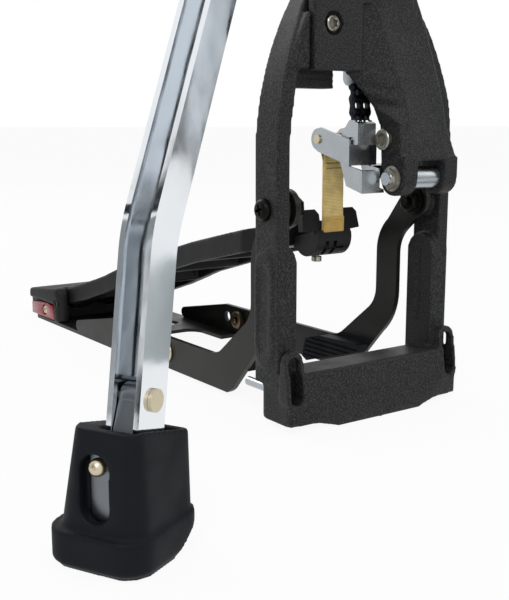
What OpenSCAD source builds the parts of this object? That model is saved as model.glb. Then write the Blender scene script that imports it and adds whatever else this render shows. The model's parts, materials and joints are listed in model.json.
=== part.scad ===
// Lower section of a lever-action hi-hat stand: a die-cast frame with a lever
// linkage, a folding footboard section and a two-legged base.
// Origin: the tube axis on the floor. +Y runs back to the heel, +Z up. Millimetres.

/* [Base casting] */
// Half width of the base bar
base_half = 71; // [68:1:78]
// Depth of the base bar, front to back
base_depth = 36; // [34:1:42]
// Height of the base bar
base_height = 36; // [32:1:40]
// How far the front of the bar stands ahead of the tube axis
base_front = 28; // [27:0.5:29]
// How far the bar's ends are raised off the floor
wing_lift = 4; // [2:0.5:6]
// Backward lean of the bar's front face, degrees
front_lean = 8; // [4:1:10]

/* [Pillars and arch] */
// Distance from the axis to a pillar's inner face
pillar_inner = 57; // [57:0.5:58]
// Distance from the axis to a pillar's outer face
pillar_outer = 71.5; // [70:0.5:73]
// Height where the deep lower pillar ends
pillar_step = 106; // [100:1:110]
// Height where the arch starts to curve in
arch_spring = 166; // [162:1:170]
// Outer radius of the arch
arch_radius = 179; // [175:1:184]
// Width of the arch's arm seen from the front
arch_width = 9; // [8:0.5:10]
// Half depth of the arch's arms, front to back
arm_half_depth = 12; // [11:0.5:13]
// Width of the slots in the bar's front corners
slot_width = 9; // [7:0.5:9.5]
// Width of the long slots in the pillars' outer faces
side_slot_width = 11.5; // [9:0.5:12]
// Radius of the bar's bowed front, seen from above
front_bow = 700; // [600:10:900]

/* [Tube] */
// Radius of the base tube
tube_r = 14.3; // [14:0.1:14.6]
// Wall of the base tube
tube_wall = 1.5; // [1.2:0.1:2]
// Height of the base tube's mouth above the upper collar's pins
tube_above_collar = 67.4; // [62:0.5:90]
// Height of the bottom of the base tube
tube_bottom = 270; // [268:1:274]

/* [Fits] */
// Radial clearance of pins and shafts that turn
running = 0.05; // [0.03:0.01:0.08]
// Side clearance between pieces that move past each other
side_gap = 0.5; // [0.4:0.05:0.6]

/* [Lever] */
// Distance of the lever's pivot ahead of the tube axis
lever_pivot_y = 21; // [20:0.5:22]
// Height of the lever's pivot
lever_pivot_z = 151; // [149:0.5:153]
// Radius of the lever's pivot shaft
shaft_r = 4; // [3.5:0.25:4.5]
// Outer radius of the lever's sleeve
sleeve_r = 7.3; // [6.8:0.1:7.6]
// Thickness of the lever's steel plate
lever_plate = 2; // [1.5:0.25:2.25]
// Half width of the lever brackets
lever_half = 11.5; // [11.5:0.25:12]
// Distance of the strap pin behind the tube axis
strap_pin_y = 26; // [25:0.5:27]
// Height of the strap pin
strap_pin_z = 175; // [174:0.5:176]

/* [Strap] */
// Width of the pull strap
strap_width = 17; // [14:0.5:18]
// Thickness of the pull strap
strap_thick = 2; // [1.5:0.25:2.25]
// Free length of the strap, pin to clamp
strap_length = 66; // [64:0.5:66]

/* [Rod and chain] */
// Radius of the pull rod
rod_r = 3; // [2.5:0.25:3.5]
// Distance from the tube's mouth down to the end of the pull rod
rod_sunk = 40; // [36:1:60]
// Radius of the pull rod's threaded end
rod_thread_r = 2.5; // [2:0.25:2.5]
// Length of the pull rod's threaded end
rod_thread_length = 14; // [10:1:18]
// Pitch of the roller chain
chain_pitch = 8; // [8:0.1:8.2]
// Thickness of a chain plate
chain_plate = 0.8; // [0.7:0.05:0.9]

/* [Footboard] */
// Half width of the footboard at the heel
board_heel_half = 47; // [44:0.5:48]
// Half width of the footboard at the toe
board_toe_half = 40; // [34:0.5:44]
// Depth of the footboard's side skirt
board_skirt = 16; // [14:0.5:18]
// Thickness of the footboard's deck
board_deck = 4; // [3:0.25:5]
// Height of the heel hinge
hinge_z = 21; // [20:0.5:22]
// Distance of the heel hinge behind the tube axis
hinge_y = 352; // [350:1:354]
// Radius of the heel hinge pin
hinge_r = 3; // [2.5:0.25:3.25]

/* [Heel] */
// Half width of the heel block
heel_half = 58; // [57:0.5:60]
// Length of the heel block
heel_length = 58; // [56:1:64]
// Height of the heel block at its back
heel_back_z = 28; // [26:0.5:29]
// Height of the heel block at its front
heel_front_z = 35; // [34:0.5:36]
// Thickness of the steel floor plate
floor_plate = 3; // [2:0.25:3.5]

/* [Side bars] */
// Thickness of a side bar
bar_thick = 4; // [3:0.25:4.5]
// Width of a side bar
bar_width = 26; // [24:0.5:27]
// Width of the side bar's upright
bar_upright_width = 20.5; // [19:0.5:22]
// Height where the upright bends forward to its pivot
bar_upright_z = 97; // [94:1:100]
// Height where the upright bends back to the floor
bar_knee_z = 70; // [66:1:74]
// Radius of the screw that carries a side bar
bar_pivot_r = 4; // [3.5:0.25:4.5]
// Height of the side bars' pivot
bar_pivot_z = 134; // [132:0.5:136]

/* [Legs] */
// How far each leg points ahead of sideways, degrees
leg_forward = 28; // [24:1:32]
// Width of the leg channel
leg_width = 16; // [15:0.5:17]
// Depth of the leg channel
leg_depth = 20; // [18:0.5:21]
// Wall of the leg channel
leg_wall = 1.6; // [1.2:0.1:2]
// Distance of the leg's bend from the tube axis
bend_out = 241.5; // [236:0.5:246]
// Height of the leg's bend
bend_z = 140; // [136:1:144]
// Outer radius of the collars on the tube
collar_r = 21; // [20:0.5:22]
// Height of the fixed collar's brace pins
lower_collar_z = 400; // [396:1:404]
// Radius of the leg and brace pins
leg_pin_r = 3; // [2.5:0.25:3.25]

/* [Feet] */
// Length of a rubber foot along the leg's plane
foot_length = 58; // [56:1:64]
// Width of a rubber foot
foot_width = 44; // [40:1:46]
// Height of a rubber foot
foot_height = 62; // [60:1:64]

/* [Hidden] */
$fn = 48;

// Derived places, each [y, z] in the plane of the linkage
bar_x = pillar_inner - side_gap - bar_thick;
base_back = base_depth - base_front;
pivot_yz = [-lever_pivot_y, lever_pivot_z];
strap_pin_yz = [strap_pin_y, strap_pin_z];
bar_pivot_yz = [2, bar_pivot_z];
chain_top_z = 216;
chain_low_yz = [-2, chain_top_z - 4 * chain_pitch];
ear_x0 = 10.5;
ear_x1 = 22.5;
lug_x0 = 46;
lug_x1 = 57.5;
eps = 0.01;

// Leg plane, [distance from the axis, z]
leg_angles = [180 + leg_forward, -leg_forward];
upper_lean = 27.5;
lower_lean = 9.6;
bend_radius = 60;
pin_out = 34;
upper_collar_z = bend_z + (bend_out - pin_out) / tan(upper_lean);
tube_top = upper_collar_z + tube_above_collar;
brace_z = (upper_collar_z + lower_collar_z) / 2;
brace_out = pin_out + (upper_collar_z - brace_z) * tan(upper_lean);
foot_pin_z = 72;
foot_pin_out = bend_out + (bend_z - foot_pin_z) * tan(lower_lean);
leg_end_z = 54;
lip_r = 1.3;
lug_half = leg_width / 2 - leg_wall - 0.3;
ear_bolt_yz = [-13.5, 175];
casting_bolt_xz = [-33, 243];
spur_xz = [62, 20];

// ---- Helpers -------------------------------------------------------------

module x_cyl(yz, r, x0, x1) {
    translate([x0, yz[0], yz[1]])
        rotate([0, 90, 0])
            cylinder(r = r, h = x1 - x0);
}

module y_cyl(x, z, r, y0, y1) {
    translate([x, y1, z])
        rotate([90, 0, 0])
            cylinder(r = r, h = y1 - y0);
}

module z_cyl(x, y, r, z0, z1) {
    translate([x, y, z0])
        cylinder(r = r, h = z1 - z0);
}

// Plate cut from a [y, z] outline
module x_plate(points, x0, x1) {
    translate([x0, 0, 0])
        rotate([90, 0, 90])
            linear_extrude(x1 - x0)
                polygon(points);
}

// Plate cut from an [x, z] outline
module y_plate(points, y0, y1) {
    translate([0, y1, 0])
        rotate([90, 0, 0])
            linear_extrude(y1 - y0)
                polygon(points);
}

module box(low, high) {
    translate(low)
        cube(high - low);
}

module both_sides() {
    children();
    mirror([1, 0, 0])
        children();
}

// Round-ended link between two [y, z] points
module x_link(a, b, r, x0, x1, proud = 0) {
    side = [a[1] - b[1], b[0] - a[0]] * r / norm(b - a);
    translate([x0, 0, 0])
        rotate([90, 0, 90])
            linear_extrude(x1 - x0)
                union() {
                    translate(a)
                        circle(r + proud);
                    translate(b)
                        circle(r + proud);
                    polygon([a + side, b + side, b - side, a - side]);
                }
}

// Upright slot shape, round at both ends, cut along Y
module y_slot(x, z0, z1, w, y0, y1) {
    y_cyl(x, z0 + w / 2, w / 2, y0, y1);
    y_cyl(x, z1 - w / 2, w / 2, y0, y1);
    box([x - w / 2, y0, z0 + w / 2], [x + w / 2, y1, z1 - w / 2]);
}

// The same shape, cut along X
module x_slot(y, z0, z1, w, x0, x1) {
    x_cyl([y, z0 + w / 2], w / 2, x0, x1);
    x_cyl([y, z1 - w / 2], w / 2, x0, x1);
    box([x0, y - w / 2, z0 + w / 2], [x1, y + w / 2, z1 - w / 2]);
}

// Rounded rectangle in plan
module rounded_plan(x0, y0, x1, y1, r) {
    translate([x0 + r, y0])
        square([x1 - x0 - 2 * r, y1 - y0]);
    translate([x0, y0 + r])
        square([x1 - x0, y1 - y0 - 2 * r]);
    for (x = [x0 + r, x1 - r])
        for (y = [y0 + r, y1 - r])
            translate([x, y])
                circle(r);
}

// Moves children into a leg's own plane: local X outward, local Y sideways
module in_leg_plane(side) {
    rotate([0, 0, leg_angles[side]])
        children();
}

// Hexagon prism along X
module x_hex(yz, across, x0, x1) {
    translate([x0, yz[0], yz[1]])
        rotate([0, 90, 0])
            cylinder(d = across / cos(30), h = x1 - x0, $fn = 6);
}

function lean(z) = z * tan(front_lean);

// ---- Frame ---------------------------------------------------------------

slot_boss = 2;
bar_top_drop = 3;
corner_x = base_half - 6;
// where the bowed front stands at the corner slots
bar_end_y = corner_x * corner_x / 2 / front_bow - base_front;

// Cast bar on the floor, its ends raised and its front leaning back
module base_bar() {
    difference() {
        intersection() {
            x_plate([
                [-base_front, 0],
                [-base_front + lean(base_height), base_height],
                [base_back, base_height - bar_top_drop],
                [base_back, 0],
            ], -base_half, base_half);
            y_plate([
                [-base_half, wing_lift], [-base_half + 21, wing_lift], [-base_half + 36, 0],
                [base_half - 36, 0], [base_half - 21, wing_lift], [base_half, wing_lift],
                [base_half, base_height], [-base_half, base_height],
            ], -base_front, base_back);
            linear_extrude(base_height)
                rounded_plan(-base_half, -base_front, base_half, base_back, 7);
            z_cyl(0, front_bow - base_front, front_bow, 0, base_height);
        }
        // pockets from behind, between ribs
        for (x = [-45, -15, 15, 45])
            box([x - 12.5, -base_front + 14, wing_lift + 4], [x + 12.5, base_back + 1, base_height - 9]);
    }
    // raised rims of the corner slots
    both_sides()
        intersection() {
            y_slot(corner_x, 13, 50, slot_width + 5, -base_front, -base_front + 13);
            x_plate([
                [bar_end_y - 1, 8],
                [bar_end_y - slot_boss + lean(8), 8],
                [bar_end_y - slot_boss + lean(50), 50],
                [bar_end_y + 10, 50],
                [bar_end_y + 10, 8],
            ], corner_x - 8, corner_x + 8);
        }
}

arch_centre_x = pillar_outer - arch_radius;

// Blade of one arm: straight pillar, then the arch's arc
module arch_arm() {
    intersection() {
        union() {
            box([pillar_outer - arch_width, -arm_half_depth, base_height - 10],
                [pillar_outer, arm_half_depth, arch_spring]);
            intersection() {
                difference() {
                    y_cyl(arch_centre_x, arch_spring, arch_radius, -arm_half_depth, arm_half_depth);
                    y_cyl(arch_centre_x, arch_spring, arch_radius - arch_width,
                        -arm_half_depth - 1, arm_half_depth + 1);
                }
                box([0, -arm_half_depth, arch_spring], [pillar_outer, arm_half_depth, 312]);
            }
        }
        // the front face draws back towards the crown
        x_plate([
            [-arm_half_depth, 20], [-arm_half_depth, 200], [-7, 240], [-4, 256], [0.3, 262],
            [0.3, 320], [arm_half_depth, 320], [arm_half_depth, 20],
        ], 0, pillar_outer + 1);
    }
}

module lower_pillar() {
    top_r = arm_half_depth + 0.5;
    // deep lower half, round at its top, with its long outer slot
    difference() {
        union() {
            box([pillar_inner, -top_r, base_height - 8], [pillar_outer, top_r - 1, pillar_step - 6]);
            x_cyl([-0.5, pillar_step - 6], top_r - 0.5, pillar_inner, pillar_outer);
            x_slot(1.5, 37, pillar_step + 2, side_slot_width + 7, pillar_outer - 5, pillar_outer + 1.2);
        }
        x_slot(2.5, 46, pillar_step - 5, side_slot_width, pillar_outer - 10, pillar_outer + 2);
        x_slot(0.5, 52, pillar_step - 2, 4, pillar_inner - 1, pillar_inner + 1.2);
    }
}

module lower_frame() {
    color("#323232")
        difference() {
            union() {
                base_bar();
                both_sides()
                    lower_pillar();
                both_sides()
                    arch_arm();
                // boss round each side bar's pivot
                both_sides()
                    x_cyl(bar_pivot_yz, 9, pillar_inner, pillar_outer);
                // crown that seats the tube
                z_cyl(0, 0, tube_r + 6, 262, 316);
                box([-30, 0, 262], [30, 12, 300]);
                // ribbed stop block behind the left arm
                box([-60, 1, 206], [-20, 12, 220]);
                // forward tab beside the upper casting
                intersection() {
                    y_cyl(-arch_centre_x, arch_spring, arch_radius - 1, -12.5, 6);
                    box([-70, -12.5, 217], [-48.2, 6, 249]);
                }
            }
            // corner slots of the bar
            both_sides()
                y_slot(corner_x, 17, 46, slot_width, -base_front - 3, bar_end_y + 14);
            both_sides()
                x_cyl(bar_pivot_yz, bar_pivot_r, pillar_inner - 1, pillar_outer + 2);
            z_cyl(0, 0, tube_r, tube_bottom, 317);
            z_cyl(0, 0, rod_r + 6.5, 261, tube_bottom + 1);
            for (z = [208, 211.5, 215])
                box([-52, 0, z], [-19, 2, z + 1.2]);
            pad_discs(-1);
            both_sides()
                y_cyl(spur_xz[0], spur_xz[1], 3, base_back - 6, base_back + 1);
        }
}

// Slices of the upper casting's leg, from its block down to the fork: height,
// then the outline seen from above
fork_front = lever_pivot_y + 11;
fork_slices = [
    [264, [[-12, -8], [-1, -15], [34, -13.5], [36, -8]]],
    [240, [[-16, -8], [4, -16.5], [44, -15], [46, -8]]],
    [217, [[-21, -8], [13, -20], [50, -18], [53, -8]]],
    [206, [[-7, -8], [15.5, -22], [51.5, -20.5], [55, -8]]],
    [196, [[4, -8], [17, -24.5], [52, -23], [56, -8]]],
    [184, [[ear_x0, -8], [ear_x0 + 1.5, -25], [ear_x0 + 6.5, -28], [lug_x1 - 5, -25.5], [lug_x1 - 1, -9]]],
    [162, [[ear_x0, -10], [ear_x0, -27], [ear_x0 + 4, -fork_front], [lug_x1, -fork_front + 1], [lug_x1, -10]]],
];

module fork_slice(i) {
    translate([0, 0, fork_slices[i][0]])
        linear_extrude(0.02)
            polygon(fork_slices[i][1]);
}

module lever_casting() {
    block_x0 = -47.5;
    block_x1 = -11;
    color("#2f2f2f")
        difference() {
            union() {
                box([block_x0, -15, 216], [block_x1, -8, 262]);
                box([-30, -8, 262], [30, 0 - side_gap / 5, 292]);
                box([block_x0, -15, 256], [30, -8, 272]);
                for (i = [0:len(fork_slices) - 2])
                    hull() {
                        fork_slice(i);
                        fork_slice(i + 1);
                    }
                // the fork's two ends, round below the shaft
                for (x = [[ear_x0, ear_x1], [lug_x0, lug_x1]]) {
                    x_cyl(pivot_yz, fork_front - lever_pivot_y, x[0], x[1]);
                    box([x[0], -fork_front, lever_pivot_z], [x[1], 2 * 11 - fork_front, 164]);
                }
            }
            // gap between the fork's ends
            box([ear_x1, -fork_front - 1, 130], [lug_x0, 0, 162]);
            x_cyl(pivot_yz, shaft_r + running, 0, lug_x1 + 5);
            // recess and hole of the casting bolt
            y_cyl(casting_bolt_xz[0], casting_bolt_xz[1], 3.2, -20, -5);
            translate([casting_bolt_xz[0], -11, casting_bolt_xz[1]])
                rotate([90, 0, 0])
                    cylinder(d = 15, h = 5, $fn = 6);
            // hole of the socket bolt on the ear
            x_cyl(ear_bolt_yz, 3.2, ear_x0 - 1, ear_x0 + 12.2);
            // room for the tube's crown
            z_cyl(0, 0, tube_r + 6 + 0.2, 261.8, 320);
        }
}

module casting_bolt() {
    color("#b9b7ae") {
        difference() {
            y_cyl(casting_bolt_xz[0], casting_bolt_xz[1], 4.6, -14.5, -11);
            y_cyl(casting_bolt_xz[0], casting_bolt_xz[1], 2.2, -15, -12.5);
        }
        y_cyl(casting_bolt_xz[0], casting_bolt_xz[1], 3, -11, -8);
    }
}

// Rubber discs let into the underside of the base bar
module pad_discs(z0) {
    for (x = [-26, 26])
        z_cyl(x, (base_back - base_front) / 2, 9, z0, 2);
}

module base_pads() {
    color("#1c1d20")
        pad_discs(0);
}

module pivot_shaft() {
    color("#c9ccd0")
        x_cyl(pivot_yz, shaft_r, ear_x0 - 6, lug_x1 + 5);
}

module shaft_nuts() {
    color("#c3c2b8")
        difference() {
            union() {
                x_cyl(pivot_yz, 8, ear_x0 - 1.6, ear_x0);
                x_hex(pivot_yz, 11, ear_x0 - 4.6, ear_x0 - 1.6);
                x_cyl(pivot_yz, 8, lug_x1, lug_x1 + 1.6);
                x_hex(pivot_yz, 11, lug_x1 + 1.6, lug_x1 + 4.2);
            }
            x_cyl(pivot_yz, shaft_r, 0, lug_x1 + 6);
        }
}

module ear_bolt() {
    color("#b4b2a8") {
        difference() {
            x_cyl(ear_bolt_yz, 6.5, ear_x0 - 3, ear_x0);
            x_hex(ear_bolt_yz, 6, ear_x0 - 3.5, ear_x0 - 1);
        }
        x_cyl(ear_bolt_yz, 3, ear_x0, ear_x0 + 12);
    }
}

// ---- Tube and its fittings -----------------------------------------------

clamp_low = tube_top - 26;

module base_tube() {
    color("#d6d9dd")
        difference() {
            z_cyl(0, 0, tube_r, tube_bottom, tube_top);
            z_cyl(0, 0, tube_r - tube_wall, tube_bottom - 1, tube_top + 1);
        }
}

upper_tube_r = 11.15;

// Split plastic bush that lines the tube's mouth
module height_bush() {
    color("#26272a")
        difference() {
            union() {
                z_cyl(0, 0, tube_r - tube_wall, tube_top - 24, tube_top);
                z_cyl(0, 0, tube_r, tube_top, tube_top + 2);
            }
            z_cyl(0, 0, upper_tube_r, tube_top - 25, tube_top + 3);
        }
}

// Split clamp round the mouth of the tube
module tube_clamp() {
    color("#c8cbd0")
        difference() {
            union() {
                z_cyl(0, 0, tube_r + 4, clamp_low, tube_top - 2);
                box([-9, tube_r, clamp_low], [9, tube_r + 17, tube_top - 2]);
            }
            z_cyl(0, 0, tube_r, clamp_low - 1, tube_top);
            box([-1.5, tube_r - 1, clamp_low - 1], [1.5, tube_r + 18, tube_top]);
            x_cyl([tube_r + 10, tube_top - 14], 3 + running, -10, 10);
        }
}

// Bolt with two wings, its shank along X
module wing_bolt(yz, x_tip, x_head) {
    x_cyl(yz, 3, x_tip, x_head);
    x_cyl(yz, 6, x_head, x_head + 15);
    for (s = [-1, 1])
        x_link([yz[0], yz[1] + s * 5], [yz[0], yz[1] + s * 15], 3.6, x_head + 10, x_head + 15);
}

module tube_clamp_wing_bolt() {
    color("#cfd2d6")
        wing_bolt([tube_r + 10, tube_top - 14], -13, 9 + side_gap);
}

// ---- Side bars and heel --------------------------------------------------

bar_floor_z = bar_width + 1;
bar_upright_y = 27.5;
bar_run_end = 234;
bar_tail_yz = [306, 8];
// how far a joint's disc stands out past its straight strip
joint_proud = 0.1;

// Points on an arc about a [y, z] centre
function arc(c, r, a0, a1, n = 8) =
    [for (i = [0:n]) let (a = a0 + (a1 - a0) * i / n) [c[0] + r * cos(a), c[1] + r * sin(a)]];

// Outline of a side bar: down from its pivot, round the knee, down the slope
// and back along the floor to a tapering tail
bar_rear_y = bar_upright_y + bar_upright_width / 2;
bar_front_y = bar_upright_y - bar_upright_width / 2;
bar_slope = 40.5;
bar_outline = concat(
    // rear edge
    [[bar_pivot_yz[0] + 7.5, bar_pivot_z + 9.2]],
    arc([bar_rear_y - 30, bar_upright_z], 30, 50, 0),
    arc([bar_rear_y + 20, bar_knee_z], 20, 180, 270 - bar_slope),
    arc([88, bar_floor_z + 24], 24, 270 - bar_slope, 270),
    [[bar_run_end, bar_floor_z]],
    arc(bar_tail_yz, 5, 70, -90, 6),
    // front edge
    [[bar_tail_yz[0], 1], [76, 1]],
    arc([76, 26], 25, 268, 270 - bar_slope, 4),
    arc([bar_front_y + 42, bar_knee_z], 42, 270 - bar_slope, 180),
    arc([bar_front_y - 22, bar_upright_z], 22, 0, 48),
    [[bar_pivot_yz[0] - 4, bar_pivot_z - 10]]
);

module side_bar() {
    difference() {
        union() {
            x_plate(bar_outline, bar_x, bar_x + bar_thick);
            x_cyl(bar_pivot_yz, 12, bar_x, bar_x + bar_thick);
        }
        x_cyl(bar_pivot_yz, bar_pivot_r + running, bar_x - 1, bar_x + bar_thick + 1);
        x_cyl([231, 16.5], 4.5, bar_x - 1, bar_x + bar_thick + 1);
        // flat underside that rests on the floor plate
        box([bar_x - 1, 60, -2], [bar_x + bar_thick + 1, bar_tail_yz[0] + 9, floor_plate]);
    }
}

module side_bar_right() {
    color("#3e3e3a")
        side_bar();
}

module side_bar_left() {
    color("#3e3e3a")
        mirror([1, 0, 0])
            side_bar();
}

plate_front = 217;
plate_half = bar_x + bar_thick;

// Steel sheet on the floor, cut away in a deep bay between the bars
module floor_plate_steel() {
    color("#2a2a2c")
        difference() {
            linear_extrude(floor_plate)
                rounded_plan(-plate_half, plate_front, plate_half, hinge_y + heel_length - 6, 6);
            translate([0, 0, -1])
                linear_extrude(floor_plate + 2)
                    rounded_plan(-37, plate_front - 40, 37, plate_front + 43, 13);
            for (x = [-28, 28])
                z_cyl(x, hinge_y - 60, 9, -1, floor_plate + 1);
        }
}

bar_bolt_y = 148;
bar_stud_y = 211;

// Bolt through each bar, and the knurled nut that holds the plate's flange
module bar_bolts() {
    color("#a8763f")
        both_sides() {
            difference() {
                union() {
                    x_cyl([bar_bolt_y, 16], 8, bar_x + bar_thick, bar_x + bar_thick + 2.2);
                    x_cyl([bar_bolt_y, 16], 5, bar_x + bar_thick + 2.2, bar_x + bar_thick + 4);
                }
                x_hex([bar_bolt_y, 16], 4, bar_x + bar_thick + 1.5, bar_x + bar_thick + 5);
            }
            difference() {
                union() {
                    x_cyl([bar_stud_y, 16.5], 7.5, bar_x - 3, bar_x);
                    x_cyl([bar_stud_y, 16.5], 4.5, bar_x - 7, bar_x - 3);
                }
                x_hex([bar_stud_y, 16.5], 4, bar_x - 8, bar_x - 4.5);
            }
        }
}

// Ribbed rubber pads inside the bars, where they come down to the floor
module bar_pads() {
    color("#1d1d1f")
        both_sides()
            difference() {
                x_plate([
                    [45, 22], [44, 27], [47, 28], [88, 26.5], [105, 21.5], [109, 7], [103, 4],
                ], bar_x - 11, bar_x);
                for (k = [0:4])
                    box([bar_x - 12, 40, 8 + 3.6 * k], [bar_x - 10, 112, 9.4 + 3.6 * k]);
            }
}

// Steel spurs that stop the base from creeping, screwed in from the bar's back
module floor_spurs() {
    color("#cdd0d4")
        both_sides()
            y_cyl(spur_xz[0], spur_xz[1], 3, base_back - 6, base_back + 24);
}

heel_y0 = hinge_y - 7;
heel_y1 = heel_y0 + heel_length + 16;

module heel_profile(x0, x1, inset) {
    x_plate([
        [heel_y0 + inset, floor_plate], [heel_y0 + inset, heel_front_z - 6 - inset],
        [heel_y0 + 5, heel_front_z - inset], [heel_y1 - 8, heel_back_z - inset],
        [heel_y1 - inset, heel_back_z - 6 - inset], [heel_y1 - inset, floor_plate],
    ], x0, x1);
}

module heel_block() {
    color("#2c2c2e")
        difference() {
            intersection() {
                heel_profile(-heel_half, heel_half, 0);
                linear_extrude(60)
                    rounded_plan(-heel_half, heel_y0, heel_half, heel_y1, 8);
            }
            // hinge recess, open to the front
            box([-board_heel_half - side_gap, heel_y0 - 1, floor_plate - 1],
                [board_heel_half + side_gap, hinge_y + 7, heel_front_z + 2]);
            x_cyl([hinge_y, hinge_z], hinge_r, -heel_half - 1, heel_half + 1);
            // side recesses that hold the coloured inserts
            both_sides()
                box([heel_half - 4, heel_y0 + 12, floor_plate - 1], [heel_half + 1, heel_y1 + 1, 19]);
            // hollow underside
            box([-46, hinge_y + 14, floor_plate - 1], [46, heel_y1 - 6, heel_back_z - 6]);
        }
}

module heel_inserts() {
    color("#9c1f32")
        both_sides()
            difference() {
                intersection() {
                    box([heel_half - 4, heel_y0 + 12, floor_plate], [heel_half - 0.4, heel_y1 - 0.4, 19]);
                    linear_extrude(60)
                        rounded_plan(-heel_half + 0.4, heel_y0, heel_half - 0.4, heel_y1 - 0.4, 8);
                }
                x_cyl([heel_y0 + 34, 11], 5, heel_half - 2, heel_half + 1);
            }
}

module heel_screws() {
    color("#c7c9cb")
        both_sides()
            difference() {
                x_cyl([heel_y0 + 34, 11], 4, heel_half - 2, heel_half - 0.5);
                x_hex([heel_y0 + 34, 11], 3, heel_half - 1.2, heel_half + 1);
            }
}

module heel_hinge_pin() {
    color("#c9ccd0")
        x_cyl([hinge_y, hinge_z], hinge_r, -heel_half + 1, heel_half - 1);
}

// ---- Footboard -----------------------------------------------------------

toe_y = 48;
// Top edge of the footboard, from heel to toe
board_top = [
    [hinge_y - 1, 35], [hinge_y - 40, 45], [276, 56], [225, 74.5], [135, 99.5], [toe_y, 119.5],
];

function board_line(drop) = [for (p = board_top) [p[0], p[1] - drop]];

function reversed(points) = [for (i = [len(points) - 1:-1:0]) points[i]];

module footboard() {
    toe = toe_y;
    color("#333335")
        difference() {
            union() {
                intersection() {
                    x_plate(concat(board_line(0), reversed(board_line(board_skirt))),
                        -board_heel_half, board_heel_half);
                    linear_extrude(140)
                        polygon([
                            [-board_heel_half, hinge_y + 5], [-board_toe_half - 2, 150],
                            [-board_toe_half, toe + 24], [-22, toe - 1], [22, toe - 1],
                            [board_toe_half, toe + 24], [board_toe_half + 2, 150],
                            [board_heel_half, hinge_y + 5],
                        ]);
                }
                // hinge knuckles
                for (x = [-34, 0, 34])
                    x_link([hinge_y, hinge_z], [hinge_y - 18, 28], 6, x - 8, x + 8, proud = joint_proud);
            }
            // hollow beneath the deck, ribs left standing
            for (k = [0:3])
                intersection() {
                    x_plate(concat(board_line(board_deck), reversed(board_line(board_skirt + 2))),
                        -board_toe_half + 5, board_toe_half - 5);
                    box([-60, 70 + 62 * k, 0], [60, 70 + 62 * k + 57, 140]);
                }
            x_cyl([hinge_y, hinge_z], hinge_r + running, -60, 60);
            // grooves across the deck
            for (k = [0:5])
                translate([0, 110 + 30 * k, board_top_z(110 + 30 * k)])
                    box([-20, -2, -1], [20, 2, 3]);
        }
}

// Height of the deck's top at a place along the board
function board_top_z(y) = lookup(y, [for (p = reversed(board_top)) p]);

// Centre and radius of the clamp's barrel, and how it leans with the board
clamp_yz = [toe_y - 14, 110.5];
clamp_r = 12.8;
clamp_tilt = 13.5;
clamp_half = 14.5;
clamp_lug_half = 24;
// [y, z] of the strap's held end
strap_foot_yz = [clamp_yz[0] - 10, clamp_yz[1] - 6.5];

module in_clamp() {
    translate([0, clamp_yz[0], clamp_yz[1]])
        rotate([-clamp_tilt, 0, 0])
            children();
}

// Clamp on the toe that grips the strap: round belly, jaw plate and two lugs
module toe_clamp() {
    cy = strap_foot_yz[0];
    gap = strap_width / 2 + 0.6;
    color("#28282a")
        difference() {
            union() {
                in_clamp() {
                    intersection() {
                        x_cyl([0, 0], clamp_r, -clamp_half, clamp_half);
                        box([-clamp_half, -clamp_r, -clamp_r], [clamp_half, clamp_r, 1]);
                    }
                    box([-clamp_half, -clamp_r + 0.5, 0], [clamp_half, 10, 2.4]);
                    // lugs either side of the strap
                    for (s = [0, 1])
                        mirror([s, 0, 0])
                            translate([0, -5.5, 0])
                                rotate([90, 0, 0])
                                    linear_extrude(5)
                                        polygon([
                                            [gap, 0], [gap, 13.5], [gap + 3, 17],
                                            [clamp_lug_half - 3.5, 17], [clamp_lug_half - 0.7, 14],
                                            [clamp_lug_half, 3.2], [clamp_half + 1, 2.4], [clamp_half, 0],
                                        ]);
                }
                // seat against the board's toe
                box([-clamp_half, clamp_yz[0], clamp_yz[1] - 10], [clamp_half, toe_y - 1, clamp_yz[1] - 1]);
            }
            // mouth that takes the strap's end, opening as the strap leans back
            x_plate([
                [cy - 1.3, strap_foot_yz[1] - 1], [cy - 1.3, 132], [cy + 8.5, 132],
                [cy + 1.3, strap_foot_yz[1] - 1],
            ], -gap, gap);
            // two grooves round the belly
            in_clamp()
                for (x = [-6, 1])
                    difference() {
                        box([x - 1.4, -11.8, -14], [x + 1.4, -2, -4]);
                        x_cyl([0, 0], clamp_r - 1.6, x - 2, x + 2);
                    }
            z_cyl(-5, clamp_yz[0], 3.4, 80, clamp_yz[1] - clamp_r + 1.3);
        }
}

module toe_clamp_bolt() {
    color("#c4c2ba")
        z_cyl(-5, clamp_yz[0], 3.4, clamp_yz[1] - clamp_r - 4, clamp_yz[1] - clamp_r + 1.3);
}

// ---- Lever and strap -----------------------------------------------------

// Rear bracket: two arms down to a folded web, and the pin's eyes
module lever_arm() {
    color("#b9bdc2")
        difference() {
            union() {
                both_sides() {
                    x_plate([
                        [strap_pin_y + 5, strap_pin_z - 5], [strap_pin_y + 4, strap_pin_z + 5],
                        [strap_pin_y - 2, strap_pin_z + 7.5], [-5, 175], [-5, 159],
                        [strap_pin_y, strap_pin_z - 8],
                    ], lever_half - lever_plate, lever_half);
                    x_cyl(strap_pin_yz, 7, lever_half - lever_plate, lever_half);
                }
                x_plate([
                    [-5, 175], [-5 + lever_plate, 175.8], [-5 + lever_plate, 159.8], [-5, 159],
                ], -lever_half, lever_half);
            }
            x_cyl(strap_pin_yz, 3, -20, 20);
        }
}

cheek_out = lever_half - lever_plate - 0.2;
hub_x0 = ear_x1 + side_gap;
hub_x1 = lug_x0 - side_gap;

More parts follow.
